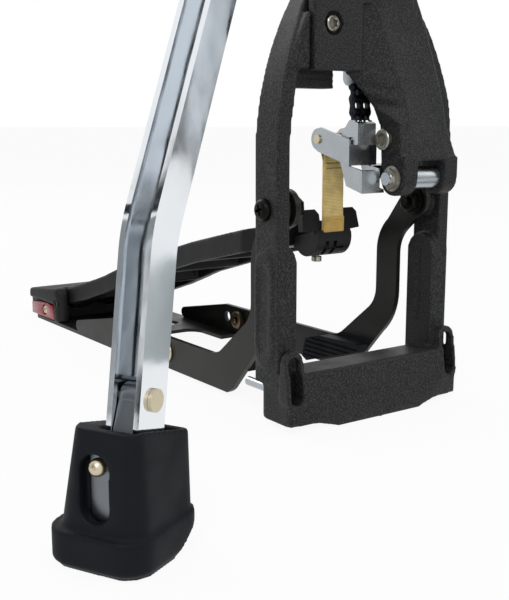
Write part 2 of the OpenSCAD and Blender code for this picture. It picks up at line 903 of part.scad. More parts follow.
// Front bracket with the chain yoke, the arm behind the ear and the sleeve
module lever_rocker() {
    cheek_in = cheek_out - lever_plate;
    web_end = ear_x0 - 5.1;
    yoke_front = -10.5;
    color("#aab0b6")
        difference() {
            union() {
                // left cheek, full depth
                x_plate([
                    [6, 176], [6, 161], [0, 146], [-15, 142], [-15, 156],
                    [-2.4, 158.5], [-2.4, 176.6], [-6, 176.6], [-6, 172], [yoke_front, 172],
                    [yoke_front, 183], [-7, 187], [-2, 187], [3, 181],
                ], -cheek_out, -cheek_in);
                // right cheek, cut back clear of the nut and the socket bolt
                x_plate([
                    [6, 176], [6, 161], [0, 146], [-11, 143], [-11, 156.5],
                    [-2.4, 158.5], [-2.4, 187], [3, 181],
                ], cheek_in, cheek_out);
                // webs that join the cheeks
                x_plate([[-15, 142], [-15, 156], [-15 + lever_plate, 156.4], [-15 + lever_plate, 142.5]],
                    -cheek_out, web_end);
                x_plate([[-15, 142], [-11, 143], [-11, 145], [-15, 144]], -cheek_out, cheek_out);
                x_plate([[yoke_front, 172], [yoke_front, 185], [yoke_front + lever_plate, 186],
                    [yoke_front + lever_plate, 172]], -cheek_out, web_end);
                // floor of the yoke, behind the rear bracket's web
                x_plate([[-2.4, 160], [-2.4, 168], [0, 168], [0, 160]], -cheek_out, cheek_out);
                // cross bar behind the ear, to the sleeve on the shaft
                x_plate([[-2, 150], [-2, 158.5], [3, 159.5], [3, 152]], cheek_in, hub_x0 + 8);
                x_link([1, 155.5], pivot_yz, 4.5, hub_x0, hub_x0 + 8);
                x_cyl(pivot_yz, sleeve_r, hub_x0, hub_x1);
                // pin that the chain's last link hangs on
                x_cyl(chain_low_yz, yoke_pin_r, -cheek_out + 1, cheek_out - 1);
            }
            x_cyl(pivot_yz, shaft_r + running, ear_x1 - 1, lug_x0 + 1);
        }
}

module strap_pin() {
    color("#b89b5a")
        x_cyl(strap_pin_yz, 3, -lever_half - 1.2, lever_half + 1.2);
}

strap_foot_z = strap_pin_z - strap_length;

// Woven strap: a loop over the pin and two plies that hang as one
module pull_strap() {
    color("#c0a050")
        difference() {
            union() {
                x_cyl(strap_pin_yz, 3 + strap_thick, -strap_width / 2, strap_width / 2);
                x_plate([
                    [strap_pin_y - 5, strap_pin_z],
                    [strap_foot_yz[0] - strap_thick / 2, strap_pin_z - 12],
                    [strap_foot_yz[0] - strap_thick / 2, strap_foot_z],
                    [strap_foot_yz[0] + strap_thick / 2, strap_foot_z],
                    [strap_foot_yz[0] + strap_thick / 2, strap_pin_z - 12],
                    [strap_pin_y + 5, strap_pin_z],
                ], -strap_width / 2, strap_width / 2);
            }
            x_cyl(strap_pin_yz, 3 + running, -20, 20);
        }
}

// ---- Chain, rod and spring -----------------------------------------------

chain_x = [-3.4, 3.4];
roller_half = 1.6;
yoke_pin_r = 1.2;
chain_slack = 1.8;
clevis_half = 9;

// One figure-eight chain plate between two [y, z] pins
module chain_link_plate(a, b, x, b_r) {
    x_cyl(a, 3.1, x, x + chain_plate);
    x_cyl(b, b_r, x, x + chain_plate);
    x_link(a, b, 2.2, x, x + chain_plate);
}

function chain_pin(i) = [
    chain_low_yz[0] * i / 4,
    chain_top_z + (chain_low_yz[1] - chain_top_z) * i / 4,
];

// Two strands of roller chain side by side on common pins
module chain() {
    color("#1b1c20")
        difference() {
            union() {
                for (x = chain_x)
                    for (i = [0:3])
                        for (s = [-1, 1]) {
                            offset_x = (i % 2 == 1) ? roller_half : roller_half + chain_plate;
                            chain_link_plate(chain_pin(i), chain_pin(i + 1),
                                x + s * offset_x + (s > 0 ? 0 : -chain_plate),
                                i == 3 ? yoke_pin_r + chain_slack + 1.2 : 3.1);
                        }
                for (i = [1:3])
                    x_cyl(chain_pin(i), 1.4, -chain_x[1] - 3.3, chain_x[1] + 3.3);
                for (x = chain_x)
                    for (i = [1:3])
                        x_cyl(chain_pin(i), 2.4, x - roller_half, x + roller_half);
            }
            x_cyl(chain_pin(0), 1.6 + running, -10, 10);
            // the last hole is oversize, as the free end of the linkage
            x_cyl(chain_pin(4), yoke_pin_r + chain_slack, -10, 10);
        }
}

module rod_clevis() {
    color("#c9ccd0")
        difference() {
            union() {
                for (s = [-1, 1])
                    x_link([0, chain_top_z - 3], [0, chain_top_z + 8], 5,
                        s > 0 ? clevis_half - 2 : -clevis_half, s > 0 ? clevis_half : -clevis_half + 2);
                box([-clevis_half, -5, chain_top_z + 8], [clevis_half, 5, chain_top_z + 15]);
                z_cyl(0, 0, 5, chain_top_z + 8, chain_top_z + 22);
            }
            z_cyl(0, 0, rod_r, chain_top_z + 12, chain_top_z + 23);
        }
    color("#c9ccd0")
        x_cyl(chain_pin(0), 1.6, -clevis_half, clevis_half);
}

seat_z = 330;
spring_top = tube_bottom + 26;

module pull_rod() {
    color("#d2d5d9")
        union() {
            z_cyl(0, 0, rod_r, chain_top_z + 12, tube_top - rod_sunk - rod_thread_length);
            z_cyl(0, 0, rod_thread_r, chain_top_z + 12, tube_top - rod_sunk);
        }
}

// Collar fixed on the rod; the return spring lifts it
module spring_seat() {
    color("#8d9095")
        difference() {
            z_cyl(0, 0, tube_r - tube_wall - 0.6, seat_z, seat_z + 8);
            z_cyl(0, 0, rod_r, seat_z - 1, seat_z + 9);
        }
}

spring_turns = 7;
spring_r = 8.5;
spring_wire = 1;
spring_low = tube_bottom + 1.2;
spring_gap = (seat_z - spring_low - 1.2) / spring_turns - 2 * spring_wire;
echo(return_spring_least_self_gap = spring_gap);
function spring_point(k, n) = [
    spring_r * cos(360 * spring_turns * k / n),
    spring_r * sin(360 * spring_turns * k / n),
    spring_low + (seat_z - spring_low - 1.2) * k / n,
];

// Helix tube: one ring of six corners at each of n + 1 stations
module helix(n) {
    rings = [for (k = [0:n]) let (
        a = 360 * spring_turns * k / n,
        out = [cos(a), sin(a), 0],
        c = spring_point(k, n)
    ) [for (j = [0:5]) c + spring_wire * (cos(60 * j) * out + sin(60 * j) * [0, 0, 1])]];
    polyhedron(
        points = [for (ring = rings) each ring],
        faces = concat(
            [for (k = [0:n - 1]) for (j = [0:5])
                [6 * k + j, 6 * k + (j + 1) % 6, 6 * (k + 1) + (j + 1) % 6]],
            [for (k = [0:n - 1]) for (j = [0:5])
                [6 * k + j, 6 * (k + 1) + (j + 1) % 6, 6 * (k + 1) + j]],
            [[5, 4, 3, 2, 1, 0], [for (j = [0:5]) 6 * n + j]]
        )
    );
}

module return_spring() {
    color("#a9adb2")
        helix(8 * spring_turns);
}

// ---- Legs ----------------------------------------------------------------

bend_steps = 8;
leg_tangent = bend_radius * tan((upper_lean - lower_lean) / 2);
bend_centre = [bend_out, bend_z]
    + leg_tangent * [sin(lower_lean), -cos(lower_lean)]
    - bend_radius * [cos(lower_lean), sin(lower_lean)];
leg_top = [pin_out, upper_collar_z] + 9 * [-sin(upper_lean), cos(upper_lean)];

// Point at distance u outward of the leg's centre line, where its lean is a
function bend_point(a, u) = bend_centre + (bend_radius + u) * [cos(a), sin(a)];

// Edge of the leg, u outward of its centre line, from its foot to its top
function leg_edge(u) = concat(
    [[
        bend_point(lower_lean, u)[0] + (bend_point(lower_lean, u)[1] - leg_end_z) * tan(lower_lean),
        leg_end_z,
    ]],
    [for (k = [0:bend_steps]) bend_point(lower_lean + (upper_lean - lower_lean) * k / bend_steps, u)],
    [leg_top + u * [cos(upper_lean), sin(upper_lean)]]
);

// Strip of the leg between two such edges
module leg_strip(u0, u1, y0, y1) {
    y_plate(concat(leg_edge(u0), reversed(leg_edge(u1))), y0, y1);
}

// Bent channel, open on its outer side, with folded lips
module leg(side) {
    half = leg_width / 2;
    depth = leg_depth / 2;
    in_leg_plane(side)
        difference() {
            union() {
                leg_strip(-depth, -depth + leg_wall, -half, half);
                for (y = [-half, half - leg_wall])
                    leg_strip(-depth, depth, y, y + leg_wall);
                for (y = [-half, half - 2 * lip_r])
                    leg_strip(depth - 2 * lip_r, depth, y, y + 2 * lip_r);
            }
            y_cyl(pin_out, upper_collar_z, leg_pin_r + running, -20, 20);
            // oversize holes: the fold's linkage is open here
            y_cyl(brace_out, brace_z, leg_pin_r + 1.8, -20, 20);
            y_cyl(foot_pin_out, foot_pin_z, leg_pin_r + running, -20, 20);
            // web and lips cut back so that the leg folds over the collar's lug
            translate([pin_out, 0, upper_collar_z])
                rotate([0, -upper_lean, 0])
                    box([-leg_depth, -lug_half - 0.2, -16], [leg_depth, lug_half + 0.2, 20]);
        }
}

module leg_left() {
    color("#d8dbdf")
        leg(0);
}

module leg_right() {
    color("#d8dbdf")
        leg(1);
}

module brace(side) {
    length = norm([brace_out - pin_out, brace_z - lower_collar_z]);
    rise = atan2(brace_z - lower_collar_z, brace_out - pin_out);
    near = leg_width / 2 + side_gap;
    in_leg_plane(side)
        translate([pin_out, 0, lower_collar_z])
            rotate([0, -rise, 0])
                difference() {
                    union() {
                        for (y = [near, -near - 2.5]) {
                            y_cyl(0, 0, 7, y, y + 2.5);
                            y_cyl(length, 0, 7, y, y + 2.5);
                            box([0, y, -7], [length, y + 2.5, 7]);
                        }
                        y_cyl(length, 0, leg_pin_r, -near - 4, near + 4);
                    }
                    y_cyl(0, 0, leg_pin_r + running, -near - 5, near + 5);
                }
}

module brace_left() {
    color("#cfd2d6")
        brace(0);
}

module brace_right() {
    color("#cfd2d6")
        brace(1);
}

// Collar with one lug and pin for each leg
module collar(z, half_width, bore) {
    difference() {
        union() {
            z_cyl(0, 0, collar_r, z - 12, z + 12);
            for (side = [0, 1])
                in_leg_plane(side) {
                    box([tube_r + 3, -half_width, z - 6], [pin_out, half_width, z + 6]);
                    y_cyl(pin_out, z, 6, -half_width, half_width);
                    y_cyl(pin_out, z, leg_pin_r, -leg_width / 2 - 4, leg_width / 2 + 4);
                }
            // boss for the screw at the back
            y_cyl(0, z, 7, tube_r + 2, collar_r + 6);
        }
        z_cyl(0, 0, bore, z - 13, z + 13);
        y_cyl(0, z, 3 + running, tube_r - 1, collar_r + 7);
    }
}

module lower_collar() {
    color("#2d2d2f")
        collar(lower_collar_z, leg_width / 2, tube_r + running);
}

module lower_collar_screw() {
    color("#c4c6c9")
        difference() {
            union() {
                y_cyl(0, lower_collar_z, 3, tube_r + 0.4, collar_r + 6);
                y_cyl(0, lower_collar_z, 5, collar_r + 6, collar_r + 11);
            }
            translate([0, collar_r + 12, lower_collar_z])
                rotate([90, 0, 0])
                    cylinder(d = 5.8, h = 4, $fn = 6);
        }
}

module upper_collar() {
    color("#2d2d2f")
        collar(upper_collar_z, lug_half, tube_r + running);
}

module upper_collar_wing_bolt() {
    z = upper_collar_z;
    color("#cfd2d6") {
        y_cyl(0, z, 3, tube_r + 0.4, collar_r + 6.5);
        y_cyl(0, z, 6, collar_r + 6.5, collar_r + 16);
        for (s = [-1, 1]) {
            box([s > 0 ? 4 : -15, collar_r + 11, z - 3.6], [s > 0 ? 15 : -4, collar_r + 16, z + 3.6]);
            y_cyl(s * 15, z, 3.6, collar_r + 11, collar_r + 16);
        }
    }
}

// ---- Feet ----------------------------------------------------------------

foot_mid = foot_pin_out - 4;
foot_in = foot_mid - foot_length / 2 + 4;
tongue_out = foot_pin_out + 15;

// Which way the stand's front lies across a leg
function forward_sign(side) = side == 0 ? -1 : 1;

foot_out = foot_mid + foot_length / 2 - 3;
sole_lip = 2.5;
sole_height = 17;
bracket_half = leg_width / 2 - 2 * lip_r - 0.4;

module foot_bracket(side) {
    in_leg_plane(side)
        difference() {
            union() {
                // eye in the channel, then a bent tongue down into the rubber
                y_cyl(foot_pin_out, foot_pin_z, 6.4, -bracket_half, bracket_half);
                rotate([90, 0, 0])
                    translate([0, 0, -bracket_half])
                        linear_extrude(2 * bracket_half)
                            polygon([
                                [foot_pin_out - 4, foot_pin_z + 4], [foot_pin_out + 5, foot_pin_z + 4],
                                [tongue_out, 50], [tongue_out, 12], [tongue_out - 6, 12],
                                [tongue_out - 6, 46], [foot_pin_out - 4, foot_pin_z - 6],
                            ]);
                box([tongue_out - 6, min(-8.5, 14 * forward_sign(side)), 12], [tongue_out, max(8.5, 14 * forward_sign(side)), 50]);
            }
            y_cyl(foot_pin_out, foot_pin_z, leg_pin_r, -20, 20);
            translate([foot_out, forward_sign(side) * 8, 46])
                rotate([0, -90, 0])
                    cylinder(r = 3, h = 40);
        }
}

module foot_bracket_left() {
    color("#c5c8cc")
        foot_bracket(0);
}

module foot_bracket_right() {
    color("#c5c8cc")
        foot_bracket(1);
}

// A foot is wider on its forward side than on the side under the stand
foot_forward = foot_width / 2 + 12;
foot_backward = foot_width / 2 - 8.5;

// Plan of a foot at one level, from r0 to r1 out from the axis
module foot_plan(side, r0, r1, forward, backward, corner) {
    rounded_plan(r0, side == 0 ? -forward : -backward, r1, side == 0 ? backward : forward, corner);
}

module rubber_foot(side) {
    window_y = forward_sign(side) * 9;
    in_leg_plane(side)
        difference() {
            union() {
                hull() {
                    linear_extrude(1)
                        foot_plan(side, foot_in, foot_out, foot_forward, foot_backward, 12);
                    translate([0, 0, foot_height - 1])
                        linear_extrude(1)
                            foot_plan(side, foot_in + 4, foot_out - 2.5, foot_width / 2 - 1, foot_width / 2 - 10, 6.5);
                }
                hull() {
                    linear_extrude(1)
                        foot_plan(side, foot_in + 1, foot_out - 1, foot_forward - 1, foot_backward - 1, 12);
                    translate([0, 0, 3])
                        linear_extrude(sole_height - 3)
                            foot_plan(side, foot_in - sole_lip / 2, foot_out + sole_lip,
                                foot_forward + sole_lip / 2, foot_backward + sole_lip / 2, 13);
                }
            }
            // socket for the leg's end and the bracket
            rotate([90, 0, 0])
                translate([0, 0, -leg_width / 2 - 1])
                    linear_extrude(leg_width + 2)
                        polygon([
                            [foot_in + 8, foot_height + 1], [foot_in + 8, leg_end_z - 16],
                            [tongue_out - 8, 10], [tongue_out + 0.5, 10],
                            [tongue_out + 0.5, 50], [tongue_out, foot_height + 1],
                        ]);
            box([tongue_out - 6.5, min(-9, 14.5 * forward_sign(side)), 11.5],
                [tongue_out + 0.5, max(9, 14.5 * forward_sign(side)), 50.5]);
            // top falls towards the stand, and the sole's heel is cut up
            rotate([90, 0, 0])
                translate([0, 0, -foot_width])
                    linear_extrude(2 * foot_width) {
                        polygon([
                            [foot_in - 8, foot_height - 12], [foot_out - 10, foot_height],
                            [foot_out - 10, foot_height + 9], [foot_in - 8, foot_height + 9],
                        ]);
                        polygon([
                            [foot_in - 8, -2], [foot_in - 8, 19], [foot_in + 26, -2],
                        ]);
                    }
            // upright window in the outer face
            for (z = [29, 44])
                translate([foot_out + 5, window_y, z])
                    rotate([0, -90, 0])
                        cylinder(r = 7.5, h = foot_out + 6 - tongue_out);
            box([tongue_out - 1, window_y - 7.5, 29], [foot_out + 5, window_y + 7.5, 44]);
        }
}

module rubber_foot_left() {
    color("#202329")
        rubber_foot(0);
}

module rubber_foot_right() {
    color("#202329")
        rubber_foot(1);
}

// Rivet through the leg's lower end, and the domed bolt in the foot's window
module foot_bolts(side) {
    half = leg_width / 2;
    in_leg_plane(side) {
        y_cyl(foot_pin_out, foot_pin_z, leg_pin_r, -half - 1, half + 1);
        for (y = [-half - 1.8, half + 0.1])
            y_cyl(foot_pin_out, foot_pin_z, 5, y, y + 1.7);
        translate([foot_out - 4, forward_sign(side) * 8, 46])
            rotate([0, -90, 0])
                cylinder(r = 3, h = foot_out - tongue_out + 2.2);
        translate([foot_out - 4, forward_sign(side) * 8, 46])
            sphere(4);
    }
}

module foot_bolts_left() {
    color("#cbb98c")
        foot_bolts(0);
}

module foot_bolts_right() {
    color("#cbb98c")
        foot_bolts(1);
}

// ---- Side bar pivots -----------------------------------------------------

module bar_pivot_screws() {
    yz = bar_pivot_yz;
    color("#a9a9a6")
        both_sides()
            difference() {
                union() {
                    x_cyl(yz, bar_pivot_r, bar_x - 9, pillar_outer + 1);
                    x_cyl(yz, 7, pillar_outer + 1, pillar_outer + 3);
                    x_cyl(yz, 5.5, pillar_outer + 3, pillar_outer + 4.2);
                }
                box([pillar_outer + 2.4, yz[0] - 4, yz[1] - 0.8], [pillar_outer + 5, yz[0] + 4, yz[1] + 0.8]);
                box([pillar_outer + 2.4, yz[0] - 0.8, yz[1] - 4], [pillar_outer + 5, yz[0] + 0.8, yz[1] + 4]);
            }
}

module bar_pivot_nuts() {
    yz = bar_pivot_yz;
    color("#77736a")
        both_sides()
            difference() {
                union() {
                    x_cyl(yz, 9.5, bar_x - side_gap - 1.6, bar_x - side_gap);
                    x_hex(yz, 12, bar_x - side_gap - 7, bar_x - side_gap - 1.6);
                }
                x_cyl(yz, bar_pivot_r, bar_x - 12, bar_x + 1);
            }
}

lower_frame();
lever_casting();
casting_bolt();
base_pads();
pivot_shaft();
shaft_nuts();
ear_bolt();
base_tube();
tube_clamp();
tube_clamp_wing_bolt();
height_bush();
bar_pivot_screws();
bar_pivot_nuts();
side_bar_left();
side_bar_right();
floor_plate_steel();
floor_spurs();
bar_bolts();
bar_pads();
heel_block();
heel_inserts();
heel_screws();
heel_hinge_pin();
footboard();
toe_clamp();
toe_clamp_bolt();
lever_arm();
lever_rocker();
strap_pin();
pull_strap();
chain();
rod_clevis();
pull_rod();
spring_seat();
return_spring();
lower_collar();
lower_collar_screw();
upper_collar();
upper_collar_wing_bolt();
leg_left();
leg_right();
brace_left();
brace_right();
foot_bracket_left();
foot_bracket_right();
rubber_foot_left();
rubber_foot_right();
foot_bolts_left();
foot_bolts_right();
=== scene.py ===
import json
import math

import bmesh
import bpy
from bpy.props import FloatProperty, PointerProperty, StringProperty
from mathutils import Matrix, Vector


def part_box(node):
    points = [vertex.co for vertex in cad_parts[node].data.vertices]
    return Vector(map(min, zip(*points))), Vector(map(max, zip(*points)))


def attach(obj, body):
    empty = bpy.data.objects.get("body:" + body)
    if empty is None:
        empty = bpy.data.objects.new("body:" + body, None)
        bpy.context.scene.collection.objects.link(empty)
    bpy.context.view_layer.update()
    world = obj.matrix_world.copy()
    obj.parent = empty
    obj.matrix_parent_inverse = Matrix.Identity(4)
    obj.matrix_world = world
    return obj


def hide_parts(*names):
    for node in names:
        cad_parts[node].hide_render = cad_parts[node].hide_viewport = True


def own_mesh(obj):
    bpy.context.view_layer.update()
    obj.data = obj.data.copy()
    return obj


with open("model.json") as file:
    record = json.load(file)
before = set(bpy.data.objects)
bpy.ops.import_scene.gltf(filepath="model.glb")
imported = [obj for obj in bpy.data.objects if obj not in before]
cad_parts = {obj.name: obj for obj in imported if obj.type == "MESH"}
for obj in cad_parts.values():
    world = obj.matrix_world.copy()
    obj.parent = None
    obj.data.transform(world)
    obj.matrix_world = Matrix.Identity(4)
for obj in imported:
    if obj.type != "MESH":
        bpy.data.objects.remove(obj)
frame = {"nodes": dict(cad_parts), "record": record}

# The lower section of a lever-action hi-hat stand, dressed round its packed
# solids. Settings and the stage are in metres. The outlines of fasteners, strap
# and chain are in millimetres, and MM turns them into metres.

bl_info = {
    "name": "Hi-hat Pedal Base",
    "version": (1, 0, 0),
    "blender": (4, 5, 0),
    "location": "View3D > Sidebar > Pedal",
    "description": "Dresses the packed solids of a hi-hat stand's pedal base",
    "category": "Add Mesh",
}

MM = 0.001
BODIES = frame["record"]["behaviour"]["bodies"]
SLOTS = {part["node"]: part["material_slot"] for part in frame["record"]["subparts"]}
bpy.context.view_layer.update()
# degrees above which an edge stays crisp
ROUND_CREASE = 60    # castings, mouldings and wire
SHEET_CREASE = 40
SCREW_CREASE = 28
WEAVE_CREASE = 50


# Sizes and colours

def length(name, description, default):
    return FloatProperty(name=name, description=description, default=default,
                         min=0.0, unit="LENGTH", precision=5)


def power(name, description, default):
    return FloatProperty(name=name, description=description, default=default, unit="POWER")


def colour(name, description, default):
    return StringProperty(name=name, description=description, default=default)


class CoatSettings(bpy.types.PropertyGroup):
    """Wrinkle powder coat on the die castings"""
    # the hollows' colour is painted shade and the grains' colour a painted highlight, over the
    # coat's own near-black
    low: colour("Hollows", "Colour between the grains", "#0c0c0d")
    high: colour("Grains", "Colour on top of the grains", "#3e3e40")
    grain: length("Grain", "Distance between two grains", 1.0 * MM)
    depth: length("Depth", "Height of a grain", 0.22 * MM)
    voxel: length("Edge step", "Mesh step that rounds the cast edges", 1.0 * MM)


class SteelSettings(bpy.types.PropertyGroup):
    """Stamped and plated steel"""
    paint: colour("Bar paint", "Satin paint on the side bars", "#1b1c19")
    zinc: colour("Zinc", "Bright zinc plate on the lever", "#aab0b4")
    nickel: colour("Nickel", "Dull nickel on the screws", "#a19e95")
    chromate: colour("Chromate", "Yellow chromate on the pivot screws", "#9c8256")
    chrome: colour("Chrome", "Bright chrome on legs and tube", "#e8ecf0")
    brass: colour("Yellow zinc", "Yellow-passivated screws and rivets", "#cdc2a8")
    bronze: colour("Bronzed plate", "Dark bronzed knurled nuts", "#6b5c49")
    # zinc darkened with painted shade, for the brackets that sit in the dark inside the feet
    shade: colour("Foot bracket", "Plain zinc plate inside the feet", "#777c82")
    black: colour("Black oxide", "Oil-blacked screws and nuts", "#1d1c1b")
    edge: length("Edge", "Radius rolled onto a stamped edge", 0.45 * MM)


class BoardSettings(bpy.types.PropertyGroup):
    """Footboard, heel block and their plastic trim"""
    paint: colour("Paint", "Satin black on the board", "#141416")
    trim: colour("Trim", "Moulded insert in the heel", "#8e1522")
    voxel: length("Edge step", "Mesh step that rounds the board's edges", 1.3 * MM)


class StrapSettings(bpy.types.PropertyGroup):
    """Woven pull strap"""
    warp: colour("Warp", "Colour of the threads along the strap", "#ffe9a0")
    # painted shade that fills the hollows between the threads
    gap_shade: colour("Gap_shade", "Colour between the threads", "#d2ac55")
    width: length("Width", "Width of the webbing", 17 * MM)
    thickness: length("Thickness", "Thickness of the webbing", 2 * MM)
    thread: length("Thread", "Distance between two threads", 0.95 * MM)
    hem: colour("Hem", "Threads of the doubled hem at the foot", "#d9b55c")
    seam: colour("Seam", "Thread that sews the loop shut", "#2b2113")
    stitch: length("Stitch", "Distance between two stitches", 1.9 * MM)


class ChainSettings(bpy.types.PropertyGroup):
    """Two-column drive chain"""
    steel: colour("Steel", "Blacked steel", "#24252a")
    pitch: length("Pitch", "Distance between two pins", 8 * MM)
    plate: length("Plate", "Thickness of a side plate", 0.8 * MM)
    roller: length("Roller", "Radius of a roller", 2.4 * MM)


class FootSettings(bpy.types.PropertyGroup):
    """Rubber feet"""
    rubber: colour("Rubber", "Colour of the moulded rubber", "#121419")
    voxel: length("Edge step", "Mesh step that rounds the moulded edges", 1.0 * MM)


class StageSettings(bpy.types.PropertyGroup):
    """Floor, camera and lamps"""
    floor: colour("Floor", "Colour of the floor", "#f4f4f2")
    size: length("Floor size", "Width of the floor", 90.0)
    key: power("Key", "Power of the main lamp", 14.0)
    fill: power("Fill", "Power of the fill lamp", 7.0)
    back: power("Back", "Power of the back lamp", 9.0)


SETTINGS = {
    "pedal_coat": CoatSettings,
    "pedal_steel": SteelSettings,
    "pedal_board": BoardSettings,
    "pedal_strap": StrapSettings,
    "pedal_chain": ChainSettings,
    "pedal_foot": FootSettings,
    "pedal_stage": StageSettings,
}


# Materials

def linear(code):
    """The linear colour that Blender wants for an sRGB hex value."""
    parts = [int(code[i:i + 2], 16) / 255 for i in (1, 3, 5)]
    return [c / 12.92 if c <= 0.04045 else ((c + 0.055) / 1.055) ** 2.4 for c in parts] + [1.0]


def feed(tree, node, links):
    """Joins a node's inputs to the sockets that drive them."""
    for key, source in links.items():
        tree.links.new(source, node.inputs[key])


def add(tree, kind, settings=None, links=None):
    """Adds a node, sets its properties or sockets and joins its inputs."""
    node = tree.nodes.new(kind)
    for key, value in (settings or {}).items():
        if isinstance(key, str) and hasattr(node, key):
            setattr(node, key, value)
        else:
            node.inputs[key].default_value = value
    feed(tree, node, links or {})
    return node


def maths(tree, operation, *sockets, by=None):
    """A Math node's result on sockets, or on a socket and a number."""
    settings = {"operation": operation}
    if by is not None:
        settings[1] = by
    return add(tree, "ShaderNodeMath", settings, dict(enumerate(sockets))).outputs[0]


def surface(tree, shader, kind="Material"):
    """Ends a material's or the world's tree with a shader."""
    add(tree, "ShaderNodeOutput" + kind, links={"Surface": shader.outputs[0]})


def emptied(holder):
    """The node tree of a material or a world, with nothing in it."""
    holder.use_nodes = True
    holder.node_tree.nodes.clear()
    return holder.node_tree


def finish(name, settings):
    """A material with one Principled shader, its tree and the shader. One that
    is there already comes back without them."""
    if name in bpy.data.materials:
        return bpy.data.materials[name], None, None
    material = bpy.data.materials.new(name)
    tree = emptied(material)
    shader = add(tree, "ShaderNodeBsdfPrincipled", settings)
    surface(tree, shader)
    return material, tree, shader


def object_noise(tree, spacing, detail=2.0, roughness=0.5):
    """Noise on Object coordinates whose features lie `spacing` metres apart."""
    place = add(tree, "ShaderNodeTexCoord").outputs["Object"]
    return add(tree, "ShaderNodeTexNoise",
               {"Scale": 1 / spacing, "Detail": detail, "Roughness": roughness},
               {"Vector": place}).outputs["Fac"]


def two_tone(tree, factor, low, high, start=0.35, stop=0.65):
    """Colour that runs from low to high as the factor goes from start to stop."""
    ramp = add(tree, "ShaderNodeValToRGB", links={"Fac": factor})
    for element, place, code in zip(ramp.color_ramp.elements, (start, stop), (low, high)):
        element.position = place
        element.color = linear(code)
    return ramp.outputs["Color"]


def spread(tree, factor, low, high, start=0.3, stop=0.7):
    """Number that runs from low to high as the factor goes from start to stop."""
    return add(tree, "ShaderNodeMapRange",
               {"From Min": start, "From Max": stop, "To Min": low, "To Max": high},
               {"Value": factor}).outputs[0]


def bumps(tree, height, depth, strength=1.0, under=None):
    """Normal of a surface that rises by `depth` metres with the height."""
    links = {"Height": height}
    if under:
        links["Normal"] = under
    return add(tree, "ShaderNodeBump", {"Distance": depth, "Strength": strength}, links).outputs[0]


def wrinkle_powder_coat():
    """Thick polyester powder that shrinks into grains as it bakes: matt, with a
    painted highlight on top of each grain and painted shade in the hollows."""
    coat = bpy.context.scene.pedal_coat
    material, tree, shader = finish("wrinkle_powder_coat",
                                    {"IOR": 1.5, "Specular IOR Level": 0.26})
    if tree:
        grain = object_noise(tree, coat.grain, 2.5, 0.62)
        cloud = object_noise(tree, 28 * MM)
        # the grains' tops painted light and their hollows painted dark, as light and shade would
        # fall
        feed(tree, shader, {"Base Color": two_tone(tree, grain, coat.low, coat.high, 0.42, 0.72),
                            "Roughness": spread(tree, cloud, 0.46, 0.6),
                            "Normal": bumps(tree, grain, coat.depth, 0.8)})
    return material


def satin_enamel(name, code, grain=2.2 * MM, depth=0.03 * MM, low=0.3, high=0.42):
    """Sprayed enamel on steel or a fine casting: a soft sheen over a faint
    orange peel."""
    material, tree, shader = finish(name, {"Base Color": linear(code), "IOR": 1.5,
                                           "Specular IOR Level": 0.24})
    if tree:
        peel = object_noise(tree, grain)
        wear = object_noise(tree, 24 * MM, 3.0)
        feed(tree, shader, {"Roughness": spread(tree, wear, low, high),
                            "Normal": bumps(tree, peel, depth, 0.7)})
    return material


def plated_steel(name, code, low, high, grain=0.8 * MM, depth=0.01 * MM, wave=0.0):
    """Electroplated steel: the plate follows the marks of the metal under it,
    which break up its reflections, and a pressed sheet is never quite flat."""
    material, tree, shader = finish(name, {"Base Color": linear(code), "Metallic": 1.0})
    if tree:
        marks = object_noise(tree, grain, 3.0, 0.6)
        cloud = object_noise(tree, 15 * MM)
        under = bumps(tree, object_noise(tree, 26 * MM, 1.0), wave) if wave else None
        feed(tree, shader, {"Roughness": spread(tree, cloud, low, high),
                            "Normal": bumps(tree, marks, depth, 0.5, under)})
    return material


def moulded(name, code, low, high, grain=0.5 * MM, depth=0.02 * MM, settings=None):
    """Moulded plastic or rubber, with the fine spark-eroded grain of its mould."""
    values = {"Base Color": linear(code), "IOR": 1.52}
    values.update(settings or {})
    material, tree, shader = finish(name, values)
    if tree:
        fine = object_noise(tree, grain)
        cloud = object_noise(tree, 18 * MM)
        feed(tree, shader, {"Roughness": spread(tree, cloud, low, high),
                            "Normal": bumps(tree, fine, depth, 0.6)})
    return material


def woven_aramid(name="woven_aramid", warp=None):
    """Plain-woven aramid webbing: gold threads that shine along their length,
    with painted shade where one dives under the next, soiled a little in patches."""
    strap = bpy.context.scene.pedal_strap
    material, tree, shader = finish(name,
                                    {"Roughness": 0.55, "IOR": 1.5, "Sheen Weight": 0.3})
    if tree:
        place = add(tree, "ShaderNodeUVMap", {"uv_map": "weave"})
        axes = add(tree, "ShaderNodeSeparateXYZ", links={0: place.outputs[0]})
        waves = [maths(tree, "SINE", maths(tree, "MULTIPLY", axes.outputs[axis],
                                           by=math.pi / strap.thread))
                 for axis in ("X", "Y")]
        height = maths(tree, "ABSOLUTE", maths(tree, "MULTIPLY", *waves))
        # the crowns take the thread's colour and the hollows between threads take painted shade
        weave = two_tone(tree, height, strap.gap_shade, warp or strap.warp, 0.05, 0.6)
        soil = spread(tree, object_noise(tree, 7 * MM, 3.0), 0.8, 1.0, 0.35, 0.6)
        shaded = add(tree, "ShaderNodeVectorMath", {"operation": "SCALE"},
                     {0: weave, "Scale": soil})
        feed(tree, shader, {"Base Color": shaded.outputs[0],
                            "Normal": bumps(tree, height, 0.25 * MM, 0.8)})
    return material


